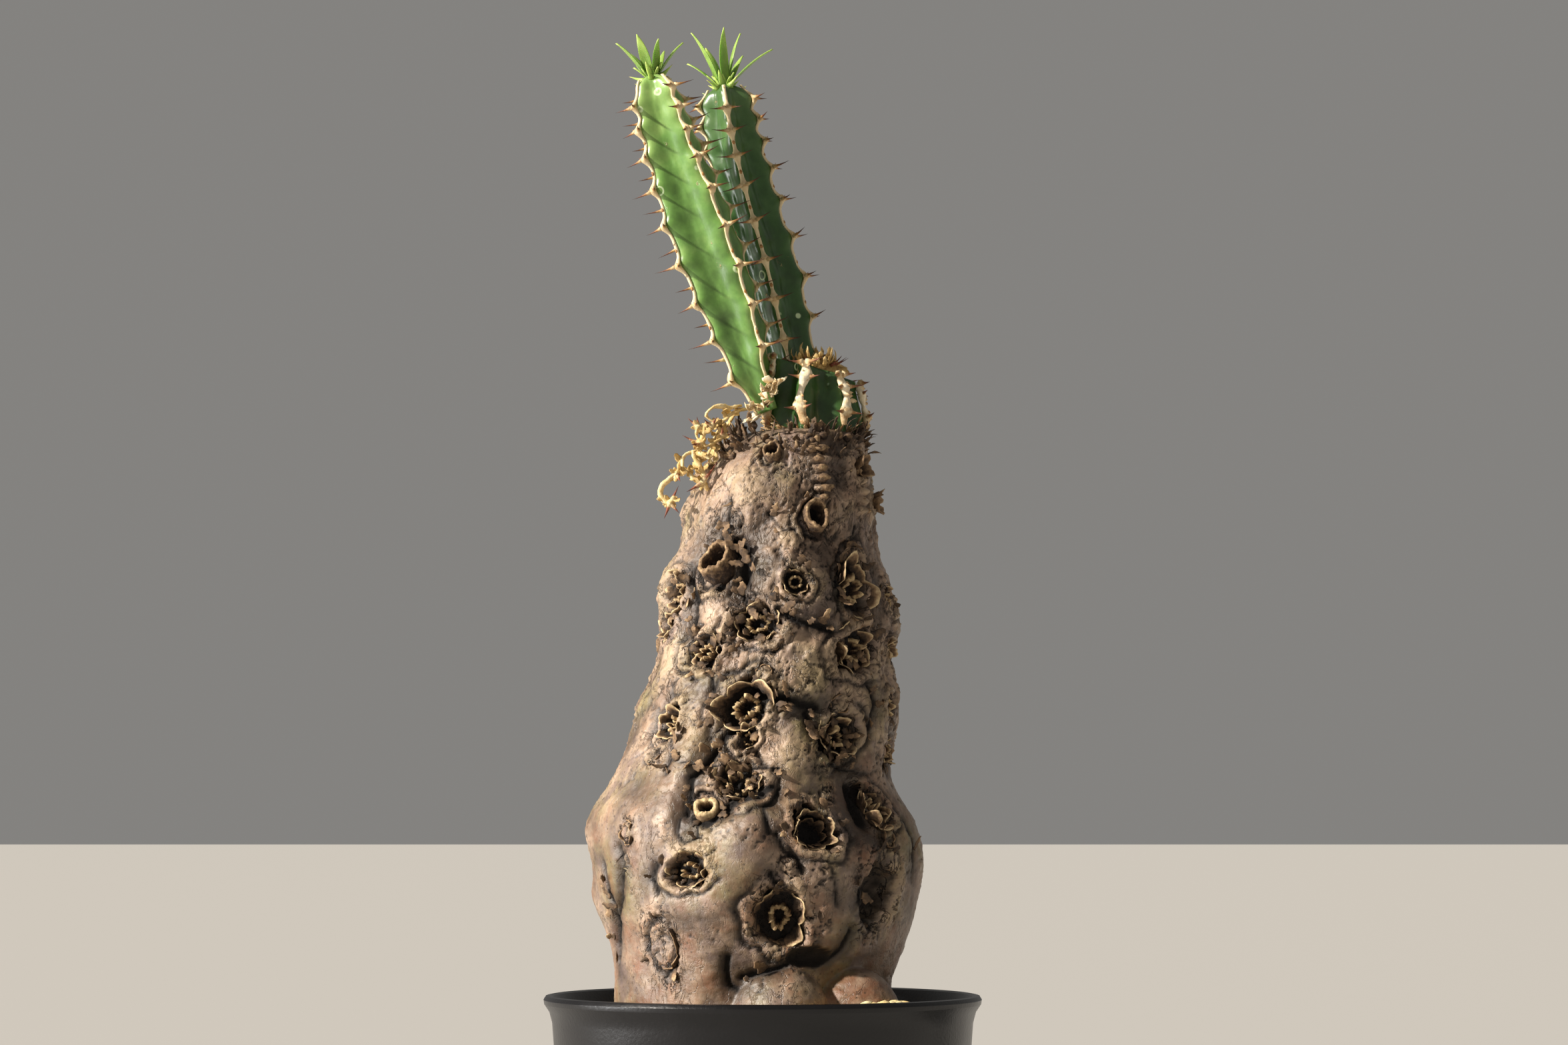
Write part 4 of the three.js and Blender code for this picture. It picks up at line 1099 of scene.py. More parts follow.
def colour_setting(name, description, code):
    """A colour that the panel shows."""
    return bpy.props.FloatVectorProperty(
        name=name, description=description, subtype="COLOR", size=4, default=linear(code))


class PotSettings(bpy.types.PropertyGroup):
    """Size and colour of the pot and its grains."""

    sides: bpy.props.IntProperty(name="Sides", description="Faces round the pot", default=160, min=24)
    grains: bpy.props.IntProperty(name="Grains", description="Loose grains on the mix", default=820, min=0)
    grain_size: bpy.props.FloatProperty(
        name="Grain size", description="Usual width of a grain", default=0.0036, unit="LENGTH")
    pot: colour_setting("Plastic", "Colour of the pot", "#0c0b0d")


class BarkSettings(bpy.types.PropertyGroup):
    """Fineness and colours of the trunk."""

    columns: bpy.props.IntProperty(name="Columns", description="Faces round the trunk", default=300, min=40)
    rows: bpy.props.IntProperty(name="Rows", description="Faces up the trunk", default=300, min=40)
    bark_light: colour_setting("Bark", "Colour of clean bark", "#a99079")
    # The crack colour is painted shade, laid deep in cracks, pits, grooves and the root hollow.
    crack_shade: colour_setting("Cracks", "Colour deep in cracks", "#0e0805")


class StemSettings(bpy.types.PropertyGroup):
    """Fineness and colours of the green parts."""

    rows: bpy.props.IntProperty(name="Rows", description="Faces along each stem", default=150, min=20)
    skin: colour_setting("Skin", "Colour of the front stem", "#638a42")
    # A darker copy of the green skin for the back stem and the stump: painted shade for the parts that the
    # stems in front and above shade.
    shaded_skin: colour_setting("Old skin", "Colour of the back stem and the stump", "#38592a")
    leaf: colour_setting("Leaf", "Colour of the leaves", "#86a548")
    cork: colour_setting("Cork", "Colour of the ribs' cork", "#e3d1aa")


class StudioSettings(bpy.types.PropertyGroup):
    """Floor, light and camera."""

    floor: colour_setting("Floor", "Colour of the floor", "#bdbab5")
    key: bpy.props.FloatProperty(name="Key", description="Strength of the main light", default=6.5, min=0)
    fill: bpy.props.FloatProperty(
        name="Fill", description="Strength of the light all round", default=0.25, min=0)
    side: bpy.props.FloatProperty(
        name="Side", description="Strength of the low soft light at the left", default=4.0, min=0)
    key_from: bpy.props.FloatProperty(
        name="Key bearing", description="How far left of the front the main light stands",
        default=math.radians(68), subtype="ANGLE")
    key_height: bpy.props.FloatProperty(
        name="Key height", description="How high the main light stands",
        default=math.radians(29), subtype="ANGLE")
    distance: bpy.props.FloatProperty(
        name="Camera distance", description="From the camera to the plant", default=1.1, unit="LENGTH")
    height: bpy.props.FloatProperty(
        name="Camera height", description="Above the rim of the pot", default=0.049, unit="LENGTH")
    tilt: bpy.props.FloatProperty(
        name="Camera tilt", description="Upwards", default=math.radians(4.2), subtype="ANGLE")


# Pieces


def wall_inside(z):
    """The inner radius of the pot's wall at a height."""
    low = FOOT_RECESS + FLOOR
    band = POT_HEIGHT - RIM_DEPTH
    return FOOT_RADIUS - WALL + (z - low) / (band - low) * (RIM_RADIUS - FOOT_RADIUS - BAND_STEP)


def spun(profile, sides):
    """A closed turned shape from a profile of radius and height that starts and ends on the axis."""
    bm = new_shape()
    line = [bm.verts.new((r, 0, z)) for r, z in profile]
    edges = [bm.edges.new(pair) for pair in zip(line, line[1:])]
    spin_round(bm, line, edges, sides)
    bmesh.ops.remove_doubles(bm, verts=bm.verts, dist=1e-4)
    bmesh.ops.recalc_face_normals(bm, faces=bm.faces)
    turned = bpy.data.meshes.new("turned")
    bm.to_mesh(turned)
    bm.clear()
    bm.from_mesh(turned)  # vertices added after this come last
    bpy.data.meshes.remove(turned)
    return bm


class EUPHORBIA_OT_pot(bpy.types.Operator):
    """Make the round black pot"""

    bl_idname = "euphorbia.pot"
    bl_label = "Pot"

    def execute(self, context):
        settings = context.scene.euphorbia_pot
        band = POT_HEIGHT - RIM_DEPTH
        inside = RIM_RADIUS - LIP_WIDTH
        foot = FOOT_RADIUS - FOOT_RING
        bm = spun([
            (0, FOOT_RECESS), (foot - 1, FOOT_RECESS), (foot, 0), (FOOT_RADIUS, 0),
            (RIM_RADIUS - BAND_STEP, band), (RIM_RADIUS - 1.6, POT_HEIGHT - 4.5),
            (RIM_RADIUS - 0.2, POT_HEIGHT - 2.4), (RIM_RADIUS, POT_HEIGHT - 1.2),
            (RIM_RADIUS - 0.6, POT_HEIGHT - 0.2), (RIM_RADIUS - 1.6, POT_HEIGHT),
            (inside + 0.8, POT_HEIGHT - 0.4), (inside, POT_HEIGHT - 2), (wall_inside(band), band),
            (FOOT_RADIUS - WALL, FOOT_RECESS + FLOOR), (0, FOOT_RECESS + FLOOR),
        ], settings.sides)
        drills = bmesh.new()
        turns = [FULL_TURN * (i + 0.5) / DRAIN_COUNT for i in range(DRAIN_COUNT)]
        for x, y in [(0, 0)] + [(DRAIN_CIRCLE * math.cos(t), DRAIN_CIRCLE * math.sin(t)) for t in turns]:
            bmesh.ops.create_cone(drills, cap_ends=True, segments=32, radius1=DRAIN_RADIUS, depth=4 * FLOOR,
                                  radius2=DRAIN_RADIUS, matrix=Matrix.Translation((x, y, FOOT_RECESS)))
        bmesh.ops.scale(drills, vec=(MM, MM, MM), verts=drills.verts)
        cutter_mesh = bpy.data.meshes.new("drain_drills")
        drills.to_mesh(cutter_mesh)
        drills.free()
        cutter = bpy.data.objects.new("drain_drills", cutter_mesh)
        context.scene.collection.objects.link(cutter)
        made = piece("nursery_pot", bm, [plastic_finish(settings)], "black_plastic", "pot")
        cut = made.modifiers.new("drain_holes", "BOOLEAN")
        cut.object = cutter
        cut.operation = "DIFFERENCE"
        context.view_layer.update()
        holed = bpy.data.meshes.new_from_object(made.evaluated_get(context.evaluated_depsgraph_get()))
        made.modifiers.clear()
        made.data = holed
        bpy.data.objects.remove(cutter)
        rounded = made.modifiers.new("moulded_edges", "BEVEL")
        rounded.width = 0.35 * MM
        rounded.segments = 2
        rounded.limit_method = "ANGLE"
        rounded.angle_limit = math.radians(24)
        return {"FINISHED"}


def heap(turn, radius):
    """How high the mix is heaped at a place."""
    apart = math.atan2(math.sin(turn - HEAP_BEARING), math.cos(turn - HEAP_BEARING))
    return HEAP_HEIGHT * math.exp(-((apart / 0.42) ** 2)) * float(step(38, 50, radius))


class EUPHORBIA_OT_mix(bpy.types.Operator):
    """Make the potting mix with its grains"""

    bl_idname = "euphorbia.mix"
    bl_label = "Potting mix"

    def execute(self, context):
        settings = context.scene.euphorbia_pot
        level = POT_HEIGHT + MIX_LEVEL
        low = FOOT_RECESS + FLOOR + GAP
        edge = wall_inside(level) - GAP
        hole = [(float(radius_at(up)) + GAP, POT_HEIGHT + up) for up in (-9, -20, -32, -45, -58)]
        top = [(r, level) for r in np.linspace(edge, hole[0][0] - 6, 16)]
        profile = [(0, low), (wall_inside(low) - GAP, low), *top, *hole[1:], (0, hole[-1][1] - 6)]
        bm = spun(profile, 120)
        tint = bm.verts.layers.float["tint"]
        for vertex in bm.verts:
            x, y, z = vertex.co
            r = math.hypot(x, y)
            if z > level - 1 and r < edge - 1:
                vertex.co.z += heap(math.atan2(y, x), r) + 0.8 * rough((x, y, 0), 2.5)
            vertex[tint] = 0.12
        for i in range(settings.grains):
            near = i < settings.grains // 4
            turn = HEAP_BEARING + 0.9 * (draw(i) - 0.5) if near else FULL_TURN * draw(i)
            r = 36 + 17.5 * math.sqrt(draw(i + 2000))
            size = settings.grain_size / MM * 0.5 * (0.45 + 0.75 * draw(i + 3000))
            lift = heap(turn, r) + size * 0.3 + (0.9 * draw(i + 4000) if near else 0)
            r = min(r, edge - size)
            centre = Vector((r * math.cos(turn), r * math.sin(turn), level + lift))
            least, swing = (0.62, 0.35) if draw(i + 6000) < 0.7 or near else (0.2, 0.3)
            tone = least + swing * draw(i + 5000)

            def place(co):
                bulge = 1 + 0.35 * rough(co * 1.2, 1, i)
                return centre + Vector((co.x * 1.15, co.y, co.z * 0.85)) * size * bulge, tone

            add_part(bm, pebble(1 if size < 1.2 else 2), place)
        piece("pumice_mix", bm, [grain_finish()], "pumice_mix", "potting_mix")
        return {"FINISHED"}


class EUPHORBIA_OT_caudex(bpy.types.Operator):
    """Make the trunk's bark"""

    bl_idname = "euphorbia.caudex"
    bl_label = "Trunk bark"

    def execute(self, context):
        settings = context.scene.euphorbia_bark
        coarse = 1
        bm = bark_mesh(round(settings.columns * coarse), round(settings.rows * coarse))
        piece("caudex_bark", bm, [bark_finish(settings)], "bark", "caudex")
        return {"FINISHED"}


class EUPHORBIA_OT_scars(bpy.types.Operator):
    """Make the papery cups, woody rings and tubes of the scars"""

    bl_idname = "euphorbia.scars"
    bl_label = "Scar cups and tubes"

    def execute(self, context):
        paper, wood = new_shape(), new_shape()
        for scar in scars:
            size, n = scar.size, scar.number * 40
            sides = 56 if size > 4 else 36
            count = 5 + round(2.4 * draw(n + 3))
            at = seat(scar, 0.25 if scar.kind == "tube" else 0)
            if scar.kind in ("cup", "torn", "bowl"):
                high = {"cup": 1.1 + 0.12 * size, "torn": 1.7 + 0.1 * size, "bowl": 1.2}[scar.kind]
                add_ring(paper, at, scar, size * 0.9, 0.42, -2 - 0.2 * size, high, 0.3, n, sides,
                         (0.12, 0.95), count, 0.55 if scar.kind != "torn" else 0.85, 0.14)
            if scar.kind in ("cup", "torn"):
                core = size * (0.34 + 0.14 * draw(n + 5))
                add_ring(wood, at, scar, core, 0.3 * size, -0.55 * size - 1.4, 0.2, 0.1, n + 9, sides,
                         (0.15, 0.8), 8, 0.6, 0.3, edge=1.6)
            elif scar.kind == "tube":
                high = 1.2 + min(2.2, 0.6 * size)
                add_ring(wood, at, scar, size * 0.8, 0.42 * size, -2.8, high, 0.03, n, sides,
                         (0.2, 0.58), 4, 0.12, 0.07, rows=7, edge=2.2, uneven=0.12)
            elif scar.kind == "trumpet":
                add_ring(paper, at, scar, size * 0.6, 0.5, -2, 1.2 * size, 1.0, n, sides, (0.3, 0.6), 4, 0.25,
                         0.15, rows=6, edge=1.6, uneven=0.25)
            elif scar.kind == "thick":
                add_ring(wood, at, scar, size * 0.7, 0.62 * size, -2.5, 1.0, 0.02, n, sides,
                         (0.3, 0.85), 6, 0.12, 0.08, edge=1.0, uneven=0.15)
            elif scar.kind == "bud" and size > 2.2:
                add_ring(paper, at, scar, size * 0.95, 0.5, -1.2, 0.6, 0.05, n, sides, (0.2, 0.6), count, 0.6)
            # A bowl's inner ring is tinted darker still: painted shade deep in the bowl.
            if scar.kind == "bowl":
                add_ring(paper, at, scar, size * 0.62, 0.5, -0.5 * size - 2, -0.8, 0.25, n + 19, sides,
                         (0.05, 0.45), count, 0.7, 0.2)
        for number, (across, low, high) in enumerate(KNUCKLES):
            for k in range(int((high - low) / KNUCKLE_STEP) + 2):
                up = low + k * KNUCKLE_STEP
                shift = across + (0.5 - 0.06 * (up - low)) * 3 + 1.4 * (draw(number * 9 + k) - 0.5)
                at = seat(spot(bearing(shift, up + draw(k + 30) - 0.5), up))
                half = (1.3 + 1.1 * draw(k), 0.7 + 0.5 * draw(k + 4), 1.1 + 0.5 * draw(k + 8))
                add_knob(wood, at, half, k + number * 20, 0.4)
        for k in range(COLLAR_KNOBS):
            at = seat(spot(FULL_TURN * draw(k + 900), COLLAR_LOW + 7 * draw(k + 950)))
            half = (0.9 + 1.1 * draw(k + 70), 0.8 + 0.7 * draw(k + 71), 1.1)
            add_knob(wood, at, half, k, 0.15 + 0.3 * draw(k + 72))
        piece("scar_paper", paper, [papery_finish()], "bark")
        piece("scar_wood", wood, [woody_finish()], "bark")
        return {"FINISHED"}


class EUPHORBIA_OT_flakes(bpy.types.Operator):
    """Make the curled scraps of dead bark round the scars and down the sides"""

    bl_idname = "euphorbia.flakes"
    bl_label = "Bark flakes"

    def execute(self, context):
        bm = new_shape()
        for scar in scars:
            if scar.kind == "bud" and scar.size < 4:
                continue
            at = seat(scar)
            turn_frame = at.to_3x3()
            crowding = {"torn": 3.6, "cup": 1.6, "hollow": 1.6, "bowl": 1.4}.get(scar.kind, 1.2)
            count = round(scar.size * crowding)
            for k in range(count):
                n = scar.number * 61 + k * 7
                turn = FULL_TURN * (k + draw(n)) / count * (2 if scar.kind == "torn" else 1)
                away = turn_frame @ Vector((math.cos(turn), math.sin(turn) * scar.stretch, 0))
                out = turn_frame @ UP
                inner = 0.35 if scar.kind == "torn" else 0.85
                reach = scar.size * (inner + (1.35 - inner) * draw(n + 1))
                root = at.translation + away * reach - out * (1.6 if reach < scar.size else 0.9)
                lean = 0.1 + 1.4 * draw(n + 2)
                length = 1.8 + 0.45 * scar.size * draw(n + 3) + 0.6
                pale = 0.9 if draw(n + 8) < 0.3 else 0.5
                add_blade(bm, root, out + away * lean, away, length, 1.6 + 3 * draw(n + 4), 2 * draw(n + 5),
                          seed=n, ragged=0.7, rows=8, tints=(0.1, pale * (0.4 + 0.6 * draw(n + 6))))
        for number, (_, _, points) in enumerate(FOLDS):
            path = Path([(a, 0, h) for a, h in points])
            steps = path.length / FOLD_SCRAP_STEP
            for k in range(round(steps)):
                n = number * 37 + k * 5
                across, _, up = path.at((k + draw(n)) / steps)
                if up < 55 and draw(n + 9) < 0.75:
                    continue
                at = seat(spot(bearing(across, up), up))
                away = at.to_3x3() @ spoke(FULL_TURN * draw(n + 1))
                out = at.to_3x3() @ UP
                root = at.translation - out * 0.5 + away * 0.6
                add_blade(bm, root, away + out * (0.2 + 0.4 * draw(n + 2)), out, 1.8 + 3.4 * draw(n + 3),
                          1.8 + 2.6 * draw(n + 4), 1.2 * draw(n + 5), seed=n, ragged=0.7, rows=8,
                          tints=(0.3, 0.35 + 0.4 * draw(n + 6)))
        for k in range(COLLAR_SCRAPS):
            up = COLLAR_LOW + 9 * draw(k + 520) ** 0.7
            at = seat(spot(FULL_TURN * draw(k + 500), min(up, COLLAR_TOP)))
            out = at.to_3x3() @ UP
            side = at.to_3x3() @ Vector((1, 0, 0))
            root = at.translation - out * 0.8 + UP * max(0, up - COLLAR_TOP)
            direction = out * (0.2 + 0.9 * draw(k + 540)) + UP + side * (1.6 * draw(k + 560) - 0.8)
            add_blade(bm, root, direction, out, 2.2 + 3.4 * draw(k + 580), 1 + 2 * draw(k + 600),
                      1.6 * draw(k + 620), seed=k, ragged=0.75, rows=8,
                      tints=(0.15, 0.15 + 0.65 * draw(k + 640) ** 1.5))
        piece("bark_flakes", bm, [papery_finish()], "bark")
        return {"FINISHED"}


def stem_stations(stem, rows):
    """The line of a stem, and at each of its rows the place, the directions there and the rib radius."""
    path = Path([above_rim(p) for p in stem.points])
    stations = []
    for i in range(rows + 1):
        share = i / rows
        stations.append((path.at(share), path.axes(share), float(through(stem.girth, share))))
    return path, stations


def shield_places(length, offset):
    """Distances of the shields from the tip, closer together near the tip."""
    places = []
    place = 5.5 + offset
    while place < length - 8:
        places.append(place)
        place += min(SHIELD_SPACING, SHIELD_TOP + SHIELD_GROWTH * place)
    return places


def rib_wave(from_tip, places):
    """How far a rib stands out at its shields and draws in between them."""
    if not places:
        return 0.0
    nearest = min(abs(from_tip - place) for place in places)
    return 1.3 * math.exp(-((nearest / 2.1) ** 2)) - 0.45


class EUPHORBIA_OT_stems(bpy.types.Operator):
    """Make the two four-angled green stems"""

    bl_idname = "euphorbia.stems"
    bl_label = "Green stems"

    def execute(self, context):
        settings = context.scene.euphorbia_stem
        # The back stem gets the darker copy of the skin, which is painted shade.
        skins = [skin_finish(settings.skin), skin_finish(settings.shaded_skin, "old_waxy_green_skin")]
        rows = settings.rows
        for stem, skin in zip(STEMS, skins):
            path, stations = stem_stations(stem, rows)
            shields = [shield_places(path.length, 0 if rib % 2 else 3) for rib in range(RIBS)]
            bm = new_shape()

            def place(turn, share, reach):
                at, (u, v, _), girth = stations[round(share * rows)]
                local = math.degrees(turn) - stem.first_rib
                rib = round(local / 90) % RIBS
                angle = (local + 45) % 90 - 45
                crest = ((1 + math.cos(math.radians(4 * angle))) / 2) ** 1.5
                from_tip = (1 - share) * path.length
                wave = rib_wave(from_tip, shields[rib]) * crest**3
                swell = 0.14 * math.cos(from_tip * FULL_TURN / 9.5 + rib) * (1 - crest)
                swell += 0.35 * rough(at + u * turn, 5, 1)
                r = girth * (VALLEY + (1 - VALLEY) * crest) + wave + swell
                end = step(0, 3, from_tip)
                r *= reach * (0.25 + 0.75 * float(end) ** 0.5)
                young = math.exp(-((from_tip / 26) ** 2))
                tint = 0.3 + 0.25 * crest**4 + 0.35 * young
                return at + swung(u, v, turn) * r, tint

            add_rod(bm, 80, rows, place)
            piece(stem.name + "_skin", bm, [skin], "green_skin", stem.name)
        return {"FINISHED"}


class EUPHORBIA_OT_margins(bpy.types.Operator):
    """Make the corky ribs of the stems with their shields and pairs of thorns"""

    bl_idname = "euphorbia.margins"
    bl_label = "Rib cork and thorns"

    def execute(self, context):
        cork = cork_finish(context.scene.euphorbia_stem)
        rows = 220
        for stem in STEMS:
            path, stations = stem_stations(stem, rows)
            for rib in range(RIBS):
                shields = shield_places(path.length, 0 if rib % 2 else 3)
                turn = math.radians(stem.first_rib + 90 * rib)
                bm = new_shape()

                def crest(share, lift=0.0):
                    i = min(rows, max(0, round(share * rows)))
                    at, (u, v, t), girth = stations[i]
                    n = swung(u, v, turn)
                    wave = rib_wave((1 - share) * path.length, shields)
                    return at + n * (girth + wave + lift), n, t.cross(n), t

                def place(angle, share, reach):
                    along = 0.03 + 0.955 * share
                    from_tip = (1 - along) * path.length
                    foot, n, w, _ = crest(along)
                    nearest = min(abs(from_tip - p) for p in shields)
                    pad = math.exp(-((nearest / 1.5) ** 2))
                    wide = MARGIN_WIDTH * 0.5 * (0.66 + 0.95 * pad) * (1 + 0.25 * rough(foot, 1.6, rib))
                    thick = MARGIN_THICK * 0.5 * (0.8 + 0.75 * pad) * (1 + 0.25 * rough(foot, 1.1, rib + 5))
                    across = reach * wide * math.cos(angle)
                    out = 0.15 + 0.5 * pad + reach * thick * math.sin(angle)
                    tint = 0.06 + 0.24 * pad * float(step(0.3, 1.0, rough(foot, 0.8, rib + 3) + 0.9))
                    return foot + w * across + n * out, tint

                add_rod(bm, 8, rows, place)
                for i, from_tip in enumerate(shields):
                    n0 = i * 13 + rib * 101 + len(stem.name)
                    foot, n, w, t = crest(1 - from_tip / path.length)
                    young = 0.75 + 0.25 * min(1, from_tip / 25)
                    for hand in (-1, 1):
                        lean = 0.35 * (draw(n0 + hand) - 0.5)
                        length = SPINE_LENGTH * young * (0.8 + 0.4 * draw(n0 + 3 * hand + 5))
                        root = foot + n * 0.75 + w * hand * 0.7
                        aim = w * hand + n * (0.42 + 0.5 * draw(n0 + 7 + hand)) + t * lean
                        add_thorn(bm, root, root + aim.normalized() * length, 0.4, 0.02, (0.15, 1.0))
                        bristle = (n + w * hand * 0.5 + t * 0.9).normalized()
                        add_thorn(bm, root, root + bristle * 1.3, 0.25, 0, (0.3, 0.6), 5, 2)
                    if 20 < from_tip < path.length - 12:
                        middle, n2, w2, _ = crest(1 - (from_tip - 4.2) / path.length)
                        add_part(bm, pebble(1), lambda co: (
                            middle + n2 * (0.45 + 0.35 * co.z) + w2 * co.x * 0.5 + t * co.y * 0.8, 0.42))
                name = f"{stem.name}_margin_{rib + 1}"
                piece(f"{stem.name}_cork_{rib + 1}", bm, [cork], "cork_margin", name)
        return {"FINISHED"}


class EUPHORBIA_OT_leaves(bpy.types.Operator):
    """Make the tufts of young leaves and soft thorns at the tips"""

    bl_idname = "euphorbia.leaves"
    bl_label = "Tip leaves"

    def execute(self, context):
        leaf = leaf_finish(context.scene.euphorbia_stem)
        for stem in STEMS:
            path, _ = stem_stations(stem, 2)
            u, v, t = path.axes(1)
            bm = new_shape()
            for i, tip in enumerate(stem.leaves):
                reach = Vector(tip)
                away = (reach - t * reach.dot(t)).normalized()
                root = path.at(0.985) + away * 1.2
                direction = path.at(1) + reach - root
                length = direction.length * 0.97
                add_blade(bm, root, direction - away * 0.2 * length, away, length, 3.1, 0.5, thick=0.5,
                          seed=i, cup=0.45, ragged=0, rows=16, sides=12, tints=(0.1, 0.75), point=0.8)
            for i in range(BUD_LEAVES):
                away = swung(u, v, FULL_TURN * (i + draw(i + 7)) / BUD_LEAVES)
                direction = t * 2 + away * (0.3 + 0.9 * draw(i + 9))
                add_blade(bm, path.at(0.98) + away * 0.9, direction, away, 3 + 3.5 * draw(i + 90), 1.5, 0.3,
                          thick=0.45, seed=i + 20, cup=0.4, ragged=0, rows=8, tints=(0.35, 0.8), point=0.8)
            for i in range(2 * RIBS):
                away = swung(u, v, math.radians(stem.first_rib + 45 * i))
                root = path.at(0.985 if i % 2 else 0.955) + away * 2.4
                add_thorn(bm, root, root + (away + t * 0.6).normalized() * 4.6, 0.65, 0, (0.5, 1.0))
            piece(stem.name + "_leaves", bm, [leaf], "green_skin")
        return {"FINISHED"}


def stump_top(x):
    """The height of the stump's slanting top."""
    return STUMP_TOP - 0.28 * (x - STUMP_X)


def stump_waist(share):
    """The girth of the stump up its length, as a share of its widest."""
    return 0.86 + 0.14 * math.sin(math.pi * min(1, 0.15 + share))


def stump_ridge(turn):
    """How far up a rib a bearing lies, from 0 in a valley to 1 on the crest, and the radius there."""
    phase = (math.degrees(turn) - STUMP_FIRST) / 360 * STUMP_RIBS
    crest = ((1 + math.cos(FULL_TURN * phase)) / 2) ** 1.3
    return crest, STUMP_VALLEY + (STUMP_RIB - STUMP_VALLEY) * crest


class EUPHORBIA_OT_stump(bpy.types.Operator):
    """Make the green stump of the old main stem"""

    bl_idname = "euphorbia.stump"
    bl_label = "Stump"

    def execute(self, context):
        rows = 40
        bm = new_shape()

        def place(turn, share, reach):
            crest, radius = stump_ridge(turn)
            r = reach * stump_waist(share) * radius
            x, y = STUMP_X + r * math.cos(turn), r * math.sin(turn)
            z = STUMP_LOW + share * (stump_top(x) - STUMP_LOW)
            swell = 0.35 * rough((x, y, z), 5, 2)
            point = Vector((x + swell * math.cos(turn), y + swell * math.sin(turn), POT_HEIGHT + z))
            return point, 0.2 + 0.3 * crest**3

        add_rod(bm, 98, rows, place)
        # The stump gets the darker copy of the skin, which is painted shade.
        skin = skin_finish(context.scene.euphorbia_stem.shaded_skin, "stump_waxy_green_skin")
        piece("stump_skin", bm, [skin], "green_skin", "stump")
        return {"FINISHED"}


class EUPHORBIA_OT_stump_margins(bpy.types.Operator):
    """Make the thick scarred cork on the stump's ribs"""

    bl_idname = "euphorbia.stump_margins"
    bl_label = "Stump cork"

    def execute(self, context):
        cork = scarred_cork_finish()
        rows = 44
        low = TRUNK[-1][0] + 2 * GAP
        for rib in range(STUMP_RIBS):
            turn = math.radians(STUMP_FIRST + rib * 360 / STUMP_RIBS)
            n = spoke(turn)
            w = Vector((-n.y, n.x, 0))
            high = stump_top(STUMP_X + STUMP_RIB * n.x) + 0.6
            bm = new_shape()

            def foot_at(share):
                foot = Vector((STUMP_X, 0, POT_HEIGHT + low + share * (high - low)))
                foot += n * (STUMP_RIB * stump_waist(0.25 + 0.75 * share) + GAP)
                return foot + w * 0.8 * math.sin(7 * share + 2 * rib)

            def place(angle, share, reach):
                foot = foot_at(share)
                pad = math.exp(-(((share - 0.26) / 0.09) ** 2)) + math.exp(-(((share - 0.74) / 0.09) ** 2))
                wide = 1.35 * (0.8 + 0.55 * pad) * (1 + 0.45 * rough(foot, 2.2, rib))
                thick = 1.0 * (0.75 + 0.6 * pad) * (1 + 0.5 * rough(foot, 1.5, rib + 8))
                out = 0.5 + 0.5 * pad + reach * thick * math.sin(angle)
                dirty = 0.3 * float(step(0.45, 0.05, share)) + 0.25 * max(0, rough(foot, 1.6, rib + 4))
                return foot + w * (reach * wide * math.cos(angle)) + n * out, 0.05 + dirty

            add_rod(bm, 12, rows, place)
            for k, share in enumerate((0.26, 0.74, 0.97)):
                foot = foot_at(share) + n * 1.0
                for hand in (-1, 1):
                    d = rib * 17 + k * 5 + hand
                    aim = w * hand + n * (0.35 + 0.4 * draw(d + 2)) + Vector((0, 0, 0.5 * (draw(d) - 0.5)))
                    root = foot + w * hand * 0.8
                    tip = root + aim.normalized() * (3.6 + 1.6 * draw(d + 9))
                    add_thorn(bm, root, tip, 0.6, 0.03, (0.2, 0.9))
            for k in range(CORK_SCRAPS):
                d = rib * 23 + k
                share = draw(d) ** 0.7
                foot = foot_at(share) + w * (2.4 * draw(d + 40) - 1.2)
                add_blade(bm, foot, n + w * (draw(d + 3) - 0.5) + Vector((0, 0, draw(d + 5) - 0.5)), w,
                          2.4, 1.6, 1.2, seed=d, ragged=0.5, tints=(0.1, 0.35))
            piece(f"stump_cork_{rib + 1}", bm, [cork], "scarred_cork", f"stump_margin_{rib + 1}")
        return {"FINISHED"}


